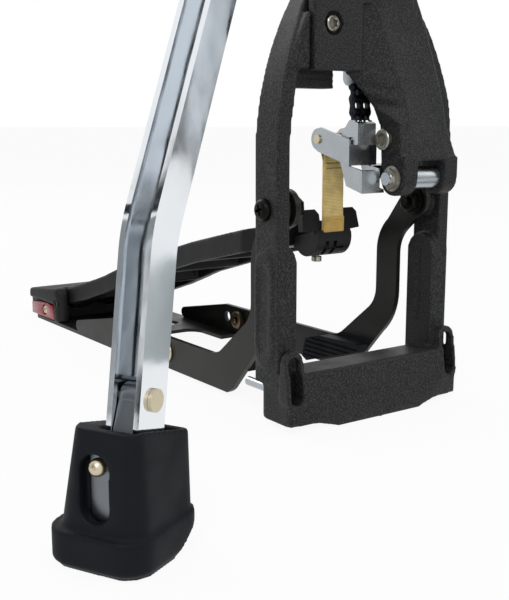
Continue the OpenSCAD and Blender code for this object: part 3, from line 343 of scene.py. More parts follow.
# each plated steel, by the setting that gives its colour: its name, its lowest
# and highest roughness, and its marks where they aren't the usual ones
PLATES = {
    "chrome": ("bright_chrome_plate", 0.05, 0.11, 6 * MM, 0.015 * MM, 0.26 * MM),
    "zinc": ("bright_zinc_plate", 0.2, 0.34, 0.7 * MM, 0.012 * MM),
    "nickel": ("dull_nickel_plate", 0.24, 0.4),
    "chromate": ("yellow_chromate", 0.26, 0.42),
    "black": ("oil_blacked_screw", 0.28, 0.42),
    "brass": ("yellow_zinc_plate", 0.24, 0.4),
    "bronze": ("bronzed_plate", 0.2, 0.34),
    # zinc darkened with painted shade, for the brackets inside the feet
    "shade": ("plain_zinc_plate", 0.26, 0.4),
}


def plate(setting):
    """The plated steel whose colour is this setting."""
    name, *look = PLATES[setting]
    return plated_steel(name, getattr(bpy.context.scene.pedal_steel, setting), *look)


def slot_material(slot):
    """The finish of each of the record's material slots."""
    scene = bpy.context.scene
    board = scene.pedal_board
    makers = {
        "textured_black": wrinkle_powder_coat,
        "satin_black": lambda: satin_enamel("satin_enamel_on_steel", scene.pedal_steel.paint),
        "black_board": lambda: satin_enamel("satin_enamel_on_casting", board.paint,
                                            1.1 * MM, 0.08 * MM, 0.4, 0.52),
        "chrome": lambda: plate("chrome"),
        "zinc": lambda: plate("zinc"),
        "nickel": lambda: plate("nickel"),
        "bronze": lambda: plate("chromate"),
        "black_plastic": lambda: moulded("moulded_nylon", "#161618", 0.4, 0.55,
                                         settings={"Specular IOR Level": 0.25}),
        "red_plastic": lambda: moulded("red_abs", board.trim, 0.2, 0.32,
                                       settings={"Coat Weight": 0.3}),
        "rubber": lambda: moulded("moulded_rubber", scene.pedal_foot.rubber, 0.5, 0.66,
                                  0.9 * MM, 0.05 * MM, {"Specular IOR Level": 0.12}),
        "strap_gold": woven_aramid,
        "chain_black": lambda: plated_steel("oil_blacked_steel", scene.pedal_chain.steel,
                                            0.26, 0.4),
        "spring_steel": lambda: plated_steel("drawn_spring_steel", "#8f9195", 0.2, 0.32),
    }
    return makers[slot]()


# Meshes

def body_of(node):
    """The body that carries a CAD node."""
    return next(body for body, nodes in BODIES.items() if node in nodes)


def settle(piece, node):
    """Puts a finished piece in its node's place, on its node's body."""
    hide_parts(node)
    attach(piece, body_of(node))


def holding(name, data):
    """An object at the scene's origin that holds the data."""
    holder = bpy.data.objects.new(name, data)
    bpy.context.scene.collection.objects.link(holder)
    return holder


def cover(piece, material):
    """Gives a piece one finish and takes every other off it."""
    piece.data.materials.clear()
    piece.data.materials.append(material)


def add_piece(name, mesh, slot):
    """An object that holds the mesh, in its slot's finish."""
    piece = holding(name, mesh)
    cover(piece, slot_material(slot))
    return piece


def shade(mesh, degrees):
    """Smooth faces, with edges sharper than the angle kept crisp."""
    mesh.polygons.foreach_set("use_smooth", [True] * len(mesh.polygons))
    mesh.set_sharp_from_angle(angle=math.radians(degrees))


def extent(node):
    """A node's box in millimetres: its middle, lowest and highest corner."""
    low, high = (Vector(corner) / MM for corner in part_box(node))
    return (low + high) / 2, low, high


def on_circle(radius, degrees, middle=(0, 0)):
    """The point of a flat circle at this angle."""
    turn = math.radians(degrees)
    return middle[0] + radius * math.cos(turn), middle[1] + radius * math.sin(turn)


def aim(direction, roll=0.0):
    """Euler turn that lays a shape's Z axis along the direction."""
    ahead = Vector(direction).normalized()
    turn = ahead.to_track_quat("Z", "Y") @ Matrix.Rotation(roll, 3, "Z").to_quaternion()
    return tuple(turn.to_euler("XYZ"))


def on_edge(lean=0.0):
    """Euler turn that stands a flat outline on its edge, its X along Y and its
    Y along Z, and then leans it about X."""
    upright = Matrix(((0, 0, 1), (1, 0, 0), (0, 1, 0)))
    return tuple((Matrix.Rotation(lean, 3, "X") @ upright).to_euler("XYZ"))


def facing(left, right, y, z, roll=0.0, inward=False):
    """Spots at x = left and x = right that face away from, or to, each other."""
    ways = [(-1, 0, 0), (1, 0, 0)]
    if inward:
        ways.reverse()
    return [((x, y, z), aim(way, roll)) for x, way in zip((left, right), ways)]


def welded(node):
    """A bmesh copy of a CAD node, in its place, with its loose triangles joined."""
    source = frame["nodes"][node]
    shape = bmesh.new()
    shape.from_mesh(source.data)
    shape.transform(source.matrix_world)
    bmesh.ops.remove_doubles(shape, verts=shape.verts, dist=1e-6)
    return shape


def to_mesh(shape, name):
    mesh = bpy.data.meshes.new(name)
    shape.to_mesh(mesh)
    shape.free()
    return mesh


def as_mesh(piece):
    """A plain mesh of what a piece's curve or modifiers make."""
    graph = bpy.context.evaluated_depsgraph_get()
    return bpy.data.meshes.new_from_object(piece.evaluated_get(graph))


def evaluated(piece):
    """Turns a piece's modifiers into its plain mesh."""
    mesh = as_mesh(piece)
    piece.modifiers.clear()
    piece.data = mesh


def rounded_cast(node, voxel, passes):
    """A node's shape with the rounded edges of a casting or moulding: remeshed
    into small even faces that are then relaxed."""
    name, slot = node + "_skin", SLOTS[node]
    piece = add_piece(name, to_mesh(welded(node), name), slot)
    remesh = piece.modifiers.new("edge_step", "REMESH")
    remesh.mode = "VOXEL"
    remesh.voxel_size = voxel
    relax = piece.modifiers.new("relax", "SMOOTH")
    relax.factor = 0.5
    relax.iterations = passes
    evaluated(piece)
    cover(piece, slot_material(slot))
    shade(piece.data, ROUND_CREASE)
    settle(piece, node)


def eased_sheet(node):
    """A stamped or folded node with a small radius rolled onto its sharp edges."""
    name, slot = node + "_skin", SLOTS[node]
    flat, fold = math.radians(0.6), math.radians(35)
    shape = welded(node)
    bmesh.ops.dissolve_limit(shape, angle_limit=flat, verts=shape.verts, edges=shape.edges)
    piece = add_piece(name, to_mesh(shape, name), slot)
    bevel = piece.modifiers.new("rolled_edge", "BEVEL")
    bevel.width = bpy.context.scene.pedal_steel.edge
    bevel.segments = 2
    bevel.limit_method = "ANGLE"
    bevel.angle_limit = fold
    bevel.use_clamp_overlap = True
    evaluated(piece)
    shade(piece.data, SHEET_CREASE)
    # flat sides stay flat in a reflection: only the rolled edges turn the light
    level = piece.modifiers.new("flat_sides", "WEIGHTED_NORMAL")
    level.keep_sharp = True
    level.weight = 100
    evaluated(piece)
    cover(piece, slot_material(slot))
    settle(piece, node)


def skin(shape, rows):
    """Faces between rows of vertices that run round a solid, and on its ends."""
    for low, high in zip(rows, rows[1:]):
        for k in range(len(low)):
            shape.faces.new((low[k - 1], low[k], high[k], high[k - 1]))
    shape.faces.new(list(reversed(rows[0])))
    shape.faces.new(rows[-1])


def turned(name, profile, sides=48):
    """A fastener in millimetres whose axis is Z: the skin over rings of
    (outline, radius, height), closed at both ends."""
    # height of a knurl's ridges and half width of a cross's arms, per radius
    ridge, arm = 0.035, 0.24

    def radius(outline, size, turn):
        if outline == "hex":
            return size / math.cos((turn + math.pi / 6) % (math.pi / 3) - math.pi / 6)
        if outline == "knurl":
            return size * (1 + ridge * math.cos(sides / 4 * turn))
        if outline == "cross":
            across, along = abs(math.sin(turn)) + 1e-6, abs(math.cos(turn)) + 1e-6
            return max(min(size / along, arm * size / across),
                       min(size / across, arm * size / along))
        return size

    shape = bmesh.new()
    rows = []
    for outline, size, height in profile:
        row = []
        for k in range(sides):
            turn = 2 * math.pi * k / sides
            reach = radius(outline, size, turn) * MM
            row.append(shape.verts.new((reach * math.cos(turn), reach * math.sin(turn),
                                        height * MM)))
        rows.append(row)
    skin(shape, rows)
    mesh = to_mesh(shape, name)
    shade(mesh, SCREW_CREASE)
    return mesh


def rings(outline, *pairs):
    """Rings of one outline, from (radius, height) pairs."""
    return [(outline, size, height) for size, height in pairs]


def button_head(reach, height, depth):
    """Button head with a cross recess, over a shank that ends `depth` below it."""
    return (rings("round", (0.45 * reach, -depth), (0.45 * reach, 0), (0.96 * reach, 0),
                  (reach, 0.12 * height), (reach, 0.3 * height), (0.9 * reach, 0.66 * height),
                  (0.74 * reach, 0.9 * height), (0.6 * reach, height))
            + rings("cross", (0.5 * reach, height), (0.42 * reach, 0.42 * height),
                    (0.05 * reach, 0.3 * height)))


def socket_head(reach, height, depth):
    """Cap head with a hexagon socket, over a shank that ends `depth` below it."""
    return (rings("round", (0.5 * reach, -depth), (0.5 * reach, 0), (0.95 * reach, 0),
                  (reach, 0.2), (reach, height - 0.5), (reach - 0.5, height),
                  (0.66 * reach, height))
            + rings("hex", (0.58 * reach, height - 0.3), (0.56 * reach, 0.12 * height))
            + rings("round", (0.05 * reach, 0.05 * height)))


def flange_nut(reach, height, stud):
    """Hexagon nut on its skirt, sunk 0.1 mm into its seat, with the end of a
    stud through it."""
    return (rings("round", (0.45 * reach, -0.1), (0.45 * reach, 0), (0.97 * reach, 0),
                  (reach, 0.12 * height), (reach, 0.2 * height), (0.8 * reach, 0.32 * height))
            + rings("hex", (0.72 * reach, 0.36 * height), (0.72 * reach, 0.84 * height))
            + rings("round", (0.62 * reach, height), (0.46 * reach, height),
                    (0.42 * reach, 0.7 * height), (0.37 * reach, 0.7 * height),
                    (0.37 * reach, height + stud - 0.5), (0.3 * reach, height + stud)))


def barrel(*half):
    """Rings of a round pin with two like ends, from its upper half."""
    lower = [(size, -height) for size, height in reversed(half) if height]
    return rings("round", *lower, *half)


def stamped(outlines, thickness, ease, name):
    """Sheet cut to flat outlines in millimetres, [x, y], with its edges eased;
    it lies on XY and its thickness is centred on Z."""
    curve = bpy.data.curves.new(name, "CURVE")
    curve.dimensions = "2D"
    curve.fill_mode = "BOTH"
    curve.extrude = (thickness / 2 - ease) * MM
    curve.bevel_depth = ease * MM
    curve.bevel_resolution = 1
    curve.offset = -ease * MM
    for outline in outlines:
        line = curve.splines.new("POLY")
        line.points.add(len(outline) - 1)
        for point, (x, y) in zip(line.points, outline):
            point.co = (x * MM, y * MM, 0, 1)
        line.use_cyclic_u = True
    holder = holding(name, curve)
    mesh = as_mesh(holder)
    bpy.data.objects.remove(holder)
    shape = bmesh.new()
    shape.from_mesh(mesh)
    bmesh.ops.remove_doubles(shape, verts=shape.verts, dist=1e-7)
    bmesh.ops.recalc_face_normals(shape, faces=shape.faces)
    shape.to_mesh(mesh)
    shape.free()
    return mesh


def opened_tree(name, inputs):
    """A Geometry Nodes tree with these inputs, {name: (kind, default)}, a mesh
    to come out of it, and its input node."""
    tree = bpy.data.node_groups.new(name, "GeometryNodeTree")
    for label, (kind, default) in inputs.items():
        socket = tree.interface.new_socket(label, in_out="INPUT",
                                           socket_type="NodeSocket" + kind)
        if default is not None:
            socket.default_value = default
    tree.interface.new_socket("Mesh", in_out="OUTPUT", socket_type="NodeSocketGeometry")
    return tree, tree.nodes.new("NodeGroupInput")


def closed_tree(tree, start, shape):
    """Ends a tree: makes the shape plain and gives it the Finish that comes in."""
    solid = add(tree, "GeometryNodeRealizeInstances", links={0: shape})
    coated = add(tree, "GeometryNodeSetMaterial",
                 links={"Geometry": solid.outputs[0], "Material": start.outputs["Finish"]})
    add(tree, "NodeGroupOutput", links={0: coated.outputs[0]})


def grow(piece, tree, values):
    """Gives a piece the plain mesh that the tree makes with these inputs."""
    node = piece.modifiers.new(tree.name, "NODES")
    node.node_group = tree
    for item in tree.interface.items_tree:
        if item.in_out == "INPUT" and item.name in values:
            node[item.identifier] = values[item.name]
    evaluated(piece)
    cover(piece, values["Finish"])


def repeater():
    """Geometry Nodes tree that sets one shape on every point, turned by the
    point's own value, and makes one plain mesh of it."""
    name = "copies_on_points"
    if name in bpy.data.node_groups:
        return bpy.data.node_groups[name]
    tree, start = opened_tree(name, {"Points": ("Geometry", None), "Shape": ("Object", None),
                                     "Size": ("Float", 1.0), "Finish": ("Material", None)})
    turn = add(tree, "GeometryNodeInputNamedAttribute",
               {"data_type": "FLOAT_VECTOR", "Name": "turn"})
    euler = add(tree, "FunctionNodeEulerToRotation", links={0: turn.outputs[0]})
    shape = add(tree, "GeometryNodeObjectInfo", links={"Object": start.outputs["Shape"]})
    spots = add(tree, "GeometryNodeMeshToPoints", {"Radius": 0.1 * MM},
                {"Mesh": start.outputs["Points"]})
    copies = add(tree, "GeometryNodeInstanceOnPoints",
                 links={"Points": spots.outputs[0], "Instance": shape.outputs["Geometry"],
                        "Rotation": euler.outputs[0], "Scale": start.outputs["Size"]})
    closed_tree(tree, start, copies.outputs[0])
    return tree


def repeated(name, mesh, spots, slot, material=None):
    """One piece that holds a copy of the mesh at each (place in mm, turn)."""
    shape = holding(name + "_shape", mesh)
    points = bpy.data.meshes.new(name)
    points.from_pydata([[c * MM for c in place] for place, turn in spots], [], [])
    turns = points.attributes.new("turn", "FLOAT_VECTOR", "POINT")
    turns.data.foreach_set("vector", [c for place, turn in spots for c in turn])
    piece = add_piece(name, points, slot)
    grow(piece, repeater(), {"Shape": shape, "Finish": material or slot_material(slot)})
    bpy.data.objects.remove(shape)
    shade(piece.data, SCREW_CREASE)
    return piece


def fitted(node, name, mesh, spots, material=None):
    """Copies of a mesh that take a node's place."""
    settle(repeated(name, mesh, spots, SLOTS[node], material), node)


def joined(first, *others):
    """Adds the meshes of the other pieces to the first one and removes them."""
    shape = bmesh.new()
    materials = []
    for piece in (first,) + others:
        offset = len(materials)
        materials += list(piece.data.materials)
        held = bmesh.new()
        held.from_mesh(piece.data)
        for face in held.faces:
            face.material_index += offset
        plain = to_mesh(held, "held")
        shape.from_mesh(plain)
        bpy.data.meshes.remove(plain)
    first.data = to_mesh(shape, first.name)
    for material in materials:
        first.data.materials.append(material)
    for piece in others:
        bpy.data.objects.remove(piece)
    shade(first.data, SCREW_CREASE)
    return first


class PEDAL_OT_castings(bpy.types.Operator):
    """Round the edges of the die-cast frame and of the lever's casting"""
    bl_idname = "pedal.castings"
    bl_label = "Die castings"

    def execute(self, context):
        for node in ("lower_frame", "lever_casting"):
            rounded_cast(node, context.scene.pedal_coat.voxel, passes=6)
        return {"FINISHED"}


class PEDAL_OT_board(bpy.types.Operator):
    """Round the edges of the footboard and the heel block"""
    bl_idname = "pedal.board"
    bl_label = "Footboard and heel"

    def execute(self, context):
        for node in ("footboard", "heel_block"):
            rounded_cast(node, context.scene.pedal_board.voxel, passes=3)
        return {"FINISHED"}


class PEDAL_OT_feet(bpy.types.Operator):
    """Round the moulded edges of both rubber feet"""
    bl_idname = "pedal.feet"
    bl_label = "Rubber feet"

    def execute(self, context):
        for node in ("rubber_foot_left", "rubber_foot_right"):
            rounded_cast(node, context.scene.pedal_foot.voxel, passes=4)
        return {"FINISHED"}


class PEDAL_OT_sheet(bpy.types.Operator):
    """Roll a small radius onto the edges of the pressed and folded parts"""
    bl_idname = "pedal.sheet"
    bl_label = "Sheet-metal edges"

    def execute(self, context):
        for node in ("leg_left", "leg_right", "side_bar_left", "side_bar_right", "lever_arm",
                     "lever_rocker", "toe_clamp", "brace_left", "brace_right"):
            eased_sheet(node)
        return {"FINISHED"}


class PEDAL_OT_strap(bpy.types.Operator):
    """Weave the pull strap: a webbing loop over the lever's pin, its hem and
    the two rows of stitches that shut the loop"""
    bl_idname = "pedal.strap"
    bl_label = "Pull strap"

    def execute(self, context):
        strap = context.scene.pedal_strap
        middle, low, high = extent("strap_pin")
        pin = middle.yz
        foot = extent("pull_strap")[1].z
        gap, row = 0.03, 2.0
        ply = strap.thickness / MM / 2 - 0.05
        bend = (high.z - low.z) / 2 + 0.08 + ply / 2
        # the two plies hang this far in Y, and part and meet at these heights
        hang, part, meet = pin.x - 2, pin.y - 12, pin.y - 14
        near, far = hang - ply / 2 - gap, hang + ply / 2 + gap
        # up the front, over the pin and down the back
        path = [(near, foot + row * k) for k in range(int((part - foot) / row))]
        path += [(near - 0.18 * k, part + 2.2 * k) for k in range(1, 5)]
        path += [on_circle(bend, 180 - angle, pin) for angle in range(-10, 200, 14)]
        y, z = path[-1]
        path += [(y + (far - y) * k / 5, z + (meet - z) * k / 5) for k in range(1, 5)]
        path += [(far, meet - row * k) for k in range(int((meet - foot) / row) + 1)]
        width = strap.width / MM
        plies = self.webbing("pull_strap_webbing", path, width, ply)

        front, top = hang - ply - 0.12, foot + 15.5
        hem = [(front + 0.15, foot + 1.0), (front - 0.32, foot + 3.0), (front - 0.35, top - 3),
               (front - 0.35, top - 1), (front - 0.1, top - 0.3), (front + 0.3, top)]
        band = self.webbing("hem", hem, width + 0.5, 0.75, wave=0)
        cover(band, woven_aramid("woven_aramid_hem", strap.hem))

        thread = satin_enamel("seam_thread", strap.seam, low=0.6, high=0.75)
        stitch = turned("stitch", barrel((0.3, 0), (0.24, 0.55), (0.1, 0.75)), 12)
        step, along = strap.stitch / MM, aim((1, 0, 0))
        rows = ((front + 0.06, pin.y - 15.5), (front + 0.06, pin.y - 18.8),
                (front - 0.48, top - 2.2))
        spots = [((step * k, y, z), along) for y, z in rows for k in range(-3, 4)]
        seam = repeated("seam", stitch, spots, "strap_gold", thread)
        settle(joined(plies, band, seam), "pull_strap")
        return {"FINISHED"}

    def webbing(self, name, path, width, ply, wave=0.05):
        """Flat webbing along [y, z] points, thinner and rounded at its selvedges,
        with the distance across and along it, in metres, in its weave map."""
        shape = bmesh.new()
        weave = shape.loops.layers.uv.new("weave")
        half = width / 2
        edge = [(-half, 0.0), (-half + 0.12, 0.55), (-half + 0.5, 0.8), (-half + 1.2, 0.86),
                (-half + 2.0, 1.0)]
        flat = [(half * k / 4, 1.0) for k in range(-2, 3)]
        top = edge + flat + [(-x, h) for x, h in reversed(edge)]
        section = top + [(x, -h) for x, h in reversed(top[1:-1])]
        rows, spot, gone = [], {}, 0.0
        for k, (y, z) in enumerate(path):
            before, after = path[max(k - 1, 0)], path[min(k + 1, len(path) - 1)]
            way = Vector((after[0] - before[0], after[1] - before[1])).normalized()
            if k:
                gone += math.dist(path[k - 1], path[k])
            row = []
            for x, h in section:
                out = h * ply / 2 + wave * math.sin(0.9 * k)
                row.append(shape.verts.new((x * MM, (y - way.y * out) * MM,
                                            (z + way.x * out) * MM)))
                spot[row[-1]] = (x * MM, gone * MM)
            rows.append(row)
        skin(shape, rows)
        for face in shape.faces:
            if len(face.verts) == 4:
                for loop in face.loops:
                    loop[weave].uv = spot[loop.vert]
        bmesh.ops.recalc_face_normals(shape, faces=shape.faces)
        piece = add_piece(name, to_mesh(shape, name), "strap_gold")
        shade(piece.data, WEAVE_CREASE)
        return piece


class PEDAL_OT_chain(bpy.types.Operator):
    """Lay the two columns of the drive chain: waisted plates, rollers and pins
    with peened ends"""
    bl_idname = "pedal.chain"
    bl_label = "Drive chain"

    def execute(self, context):
        chain = context.scene.pedal_chain
        pitch, plate, reach = chain.pitch / MM, chain.plate / MM, chain.roller / MM
        columns, slot, along = (-3.4, 3.4), "chain_black", aim((1, 0, 0))
        # [y, z] of the upper pin, and how far the chain leans for each mm down
        top, lean = (0.0, 216.0), -2.0 / 32.0
        pins = [(top[0] + lean * pitch * k, top[1] - pitch * k) for k in range(5)]

        def waisted(name, big, hole):
            """A plate between two pins, with its lower end's and hole's radius."""
            small, waist, part = 3.1, 2.15, 14.7
            line = [on_circle(small, 90 + part * k) for k in range(-6, 7)]
            line += [(-waist, -pitch / 2)]
            line += [on_circle(big, 270 + part * k, (0, -pitch)) for k in range(-6, 7)]
            line += [(waist, -pitch / 2)]
            ring = [on_circle(hole, angle, (0, -pitch)) for angle in range(360, 0, -15)]
            return stamped([line, ring], plate - 0.04, 0.09, name)

        # every other pair of plates lies outside its neighbours
        inside, turn = 1.6, on_edge(math.atan(lean))
        short, last = [], []
        for column in columns:
            for k in range(4):
                off = inside + plate / 2 + (0 if k % 2 else plate)
                for side in (-off, off):
                    (last if k == 3 else short).append(((column + side, *pins[k]), turn))
        plates = repeated("chain_strands", waisted("link_plate", 3.1, 1.4), short, slot)
        ends = repeated("end_plates", waisted("end_plate", 4.2, 3.0), last, slot)
        roller = turned("roller", barrel((reach, 1.35), (reach - 0.2, 1.55),
                                         (reach - 0.9, 1.55)), 32)
        rollers = repeated("rollers", roller, [((column, y, z), along) for column in columns
                                               for y, z in pins[1:4]], slot)
        pin = turned("pin", barrel((1.4, 6.4), (1.1, 6.75), (0.5, 6.9)), 24)
        rivets = repeated("pins", pin, [((0, y, z), along) for y, z in pins[1:4]], slot)
        settle(joined(plates, ends, rollers, rivets), "chain")
        return {"FINISHED"}


class PEDAL_OT_spring(bpy.types.Operator):
    """Wind the return spring inside the tube's mouth"""
    bl_idname = "pedal.spring"
    bl_label = "Return spring"

    def execute(self, context):
        low, high = (Vector(corner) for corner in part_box("return_spring"))
        wire, slot = 1.0 * MM, "spring_steel"
        tree, start = opened_tree("wound_wire", {
            "Base": ("Geometry", None), "Turns": ("Float", 7.0), "Radius": ("Float", 8.5 * MM),
            "Height": ("Float", high.z - low.z - 2 * wire), "Wire": ("Float", wire),
            "Finish": ("Material", None)})
        given = start.outputs
        coil = add(tree, "GeometryNodeCurveSpiral", {"Resolution": 40},
                   {"Rotations": given["Turns"], "Height": given["Height"],
                    "Start Radius": given["Radius"], "End Radius": given["Radius"]})
        ring = add(tree, "GeometryNodeCurvePrimitiveCircle", {"Resolution": 12},
                   {"Radius": given["Wire"]})
        swept = add(tree, "GeometryNodeCurveToMesh", {"Fill Caps": True},
                    {"Curve": coil.outputs[0], "Profile Curve": ring.outputs[0]})
        closed_tree(tree, start, swept.outputs[0])
        piece = add_piece("return_spring_coil", bpy.data.meshes.new("coil"), slot)
        grow(piece, tree, {"Finish": slot_material(slot)})
        piece.data.transform(Matrix.Translation((0, 0, low.z + wire)))
        shade(piece.data, ROUND_CREASE)
        settle(piece, "return_spring")
        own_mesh(piece)
        return {"FINISHED"}


class PEDAL_OT_fasteners(bpy.types.Operator):
    """Set the screws and nuts that show"""
    bl_idname = "pedal.fasteners"
    bl_label = "Screws and nuts"

    def execute(self, context):
        self.cap_screw("casting_bolt", "casting_cap_screw", 1, 4.0)
        self.cap_screw("ear_bolt", "ear_cap_screw", 0, 3.2)

        where, low, high = extent("shaft_nuts")
        left, right = low.x + 4.6, high.x - 4.2
        nut = turned("nut", flange_nut((high.z - low.z) / 2, 3.9, 0.7))
        fitted("shaft_nuts", "shaft_flange_nuts", nut, facing(left, right, where.y, where.z))

        black = plate("black")
        where, low, high = extent("bar_pivot_screws")
        head = turned("pivot", button_head((high.z - low.z) / 2, 4.2, 28.0))
        fitted("bar_pivot_screws", "bar_pivot_button_screws", head,
               facing(low.x + 4.2, high.x - 4.2, where.y, where.z, 0.3), black)

        where, low, high = extent("bar_pivot_nuts")
        nut = turned("pivot_nut", flange_nut((high.z - low.z) / 2, 6.4, 0.5))
        fitted("bar_pivot_nuts", "bar_pivot_flange_nuts", nut,
               facing(-52.0, 52.0, where.y, where.z, inward=True), black)

        # dome screws outside the bars, knurled nuts inside them
        slot = SLOTS["bar_bolts"]
        domes = repeated("bar_bolt_domes", turned("dome", button_head(8, 4, 2)),
                         facing(-56.5, 56.5, 148, 16, 0.5), slot, plate("brass"))
        nut = (rings("round", (3, -1), (3, 0), (6.6, 0)) + rings("knurl", (7.2, 0.5), (7.2, 4.6))
               + rings("round", (6.4, 5.2), (4.2, 5.2), (3.9, 4.4), (3, 4.4), (3, 6.6), (2.4, 7)))
        nuts = repeated("bar_knurled_nuts", turned("knurled", nut, 96),
                        facing(-52.5, 52.5, 211, 16.5, inward=True), slot, plate("bronze"))
        settle(joined(domes, nuts), "bar_bolts")

        self.cap_screw("toe_clamp_bolt", "toe_clamp_cap_screw", 2, 3.4)
        return {"FINISHED"}

    def cap_screw(self, node, name, axis, height):
        """A screw along an axis, 0 to 2, with its head on the axis's low side."""
        where, low, high = extent(node)
        size, way = high - low, [0, 0, 0]
        where[axis], way[axis] = low[axis] + height, -1
        head = socket_head(size[0 if axis else 2] / 2, height, size[axis] - height)
        fitted(node, name, turned(name, head), [(where, aim(way))])


class PEDAL_OT_heel(bpy.types.Operator):
    """Fit the red inserts and their brass screws into the heel block's sides"""
    bl_idname = "pedal.heel"
    bl_label = "Heel inserts"

    def execute(self, context):
        where, low, high = extent("heel_screws")
        outline = [(409.4, 14.6), (394, 16.6), (386, 17.6), (372, 18.2), (362, 16.8),
                   (358.5, 13), (357.5, 4.2), (409.4, 3.8)]
        hole = [on_circle(5, angle, where.yz) for angle in range(0, 360, 12)]
        trim = stamped([outline, hole], 3.5, 0.4, "insert")
        fitted("heel_inserts", "heel_insert_trim", trim,
               [((x, 0, 0), on_edge()) for x in (-55.8, 55.8)])
        fitted("heel_screws", "heel_button_screws", turned("heel_head", button_head(4, 1.9, 0.6)),
               facing(low.x + 1.9, high.x - 1.9, where.y, where.z, 0.6), plate("brass"))
        return {"FINISHED"}


class PEDAL_OT_finishes(bpy.types.Operator):
    """Give every solid that still shows its own finish"""
    bl_idname = "pedal.finishes"
    bl_label = "Finishes"

    def execute(self, context):
        # the foot brackets take zinc darkened with painted shade, for the inside of the feet
        own = {"heel_hinge_pin": "black", "strap_pin": "brass",
               "foot_bolts_left": "brass", "foot_bolts_right": "brass",
               "foot_bracket_left": "shade", "foot_bracket_right": "shade"}
        for node, piece in frame["nodes"].items():
            if piece.hide_render:
                continue
            material = plate(own[node]) if node in own else slot_material(SLOTS[node])
            for place in piece.material_slots:
                place.material = material
        return {"FINISHED"}


# Stage

CAMERA_PLACE = (-0.404, -0.461, 0.185)
CAMERA_YAW, CAMERA_PITCH = math.radians(35.1), math.radians(10.53)
# sensor in mm, and focus and the picture's long side in pixels
SENSOR, FOCUS, LONG_SIDE = 36, 950, 600
LAMP_TARGET = (0, 0.05, 0.2)
# share of the floor seen as plain white, and the light of the sky
FLOOR_GLOW, SKY_LIGHT = 0.92, 0.55
# name, lowest and highest corner and look of each card round the part
CARDS = (
    ("card_low", (1.2, -0.222, 0.12), (1.2, -0.178, 0.3), "black_card"),
    ("card_pale", (1.25, -0.2, 0.12), (1.25, 0.0, 0.62), "pale_card"),
    ("card_floor", (0.12, -0.21, 0.002), (0.7, -0.13, 0.002), "grey_card"),
    ("card_right", (1.2, -0.33, 0.1), (1.2, -0.24, 0.9), "black_card"),
    ("card_left", (-1.5, -0.25, 0.0), (-1.5, -0.02, 1.0), "black_card"),
    ("card_back", (-1.5, 0.2, 0.0), (-1.5, 0.3, 1.6), "black_card"),
    ("card_front", (0.62, -1.7, 0.02), (1.3, -1.2, 0.8), "black_card"),
)
# middle and half width, in degrees round the part, of upright cards at one
# distance and of flat cards between two
UPRIGHT_AT, FLAT_FROM, FLAT_TO = 1.8, 0.45, 1.5
ROUND_CARDS = ((176, 3), (152, 6), (99, 5), (76, 4), (21, 6), (-22, 5), (-52, 8), (205, 6))
FLAT_CARDS = ((30, 9), (70, 9), (110, 9), (150, 9), (205, 7), (290, 6), (328, 7))


def lamp(name, watts, size, place):
    """A soft lamp that looks at the part."""
    light = bpy.data.lights.new(name, "AREA")
    light.energy = watts
    light.size = size
    holder = holding(name, light)
    holder.location = place
    holder.rotation_mode = "QUATERNION"
    way = Vector(LAMP_TARGET) - Vector(place)
    holder.rotation_quaternion = way.to_track_quat("-Z", "Y")
    return holder


def seen_directly(tree):
    """1 for camera, mirror and glass rays, and 0 for the rays that light things."""
    rays = add(tree, "ShaderNodeLightPath").outputs
    seen = maths(tree, "MAXIMUM", rays["Is Camera Ray"], rays["Is Glossy Ray"])
    return maths(tree, "MAXIMUM", seen, rays["Is Transmission Ray"])


def four_corners(low, high):
    """Corners of a level face, or of an upright one, between two points."""
    (x, y, z), (x2, y2, z2) = low, high
    if z == z2:
        return [(x, y, z), (x2, y, z), (x2, y2, z), (x, y2, z)]
    return [(x, y, z), (x2, y2, z), (x2, y2, z2), (x, y, z2)]


def face_of(name, corners, material):
    """An object of one face with one finish."""
    mesh = bpy.data.meshes.new(name)
    mesh.from_pydata(corners, [], [(0, 1, 2, 3)])
    mesh.materials.append(material)
    return holding(name, mesh)


def plain_card(name, code):
    """Matt card."""
    material = bpy.data.materials.new(name)
    tree = emptied(material)
    surface(tree, add(tree, "ShaderNodeBsdfDiffuse", {"Color": linear(code)}))
    return material


def graded_card(name, bright, dull):
    """Card that darkens along Y, for a soft run of tone along flat chrome."""
    material = bpy.data.materials.new(name)
    tree = emptied(material)
    place = add(tree, "ShaderNodeTexCoord")
    axes = add(tree, "ShaderNodeSeparateXYZ", links={0: place.outputs["Object"]})
    blend = spread(tree, axes.outputs["Y"], 0.0, 1.0, -0.19, -0.11)
    tone = add(tree, "ShaderNodeMix",
               {"data_type": "RGBA", 6: linear(bright), 7: linear(dull)}, {0: blend})
    surface(tree, add(tree, "ShaderNodeEmission", links={0: tone.outputs[2]}))
    return material


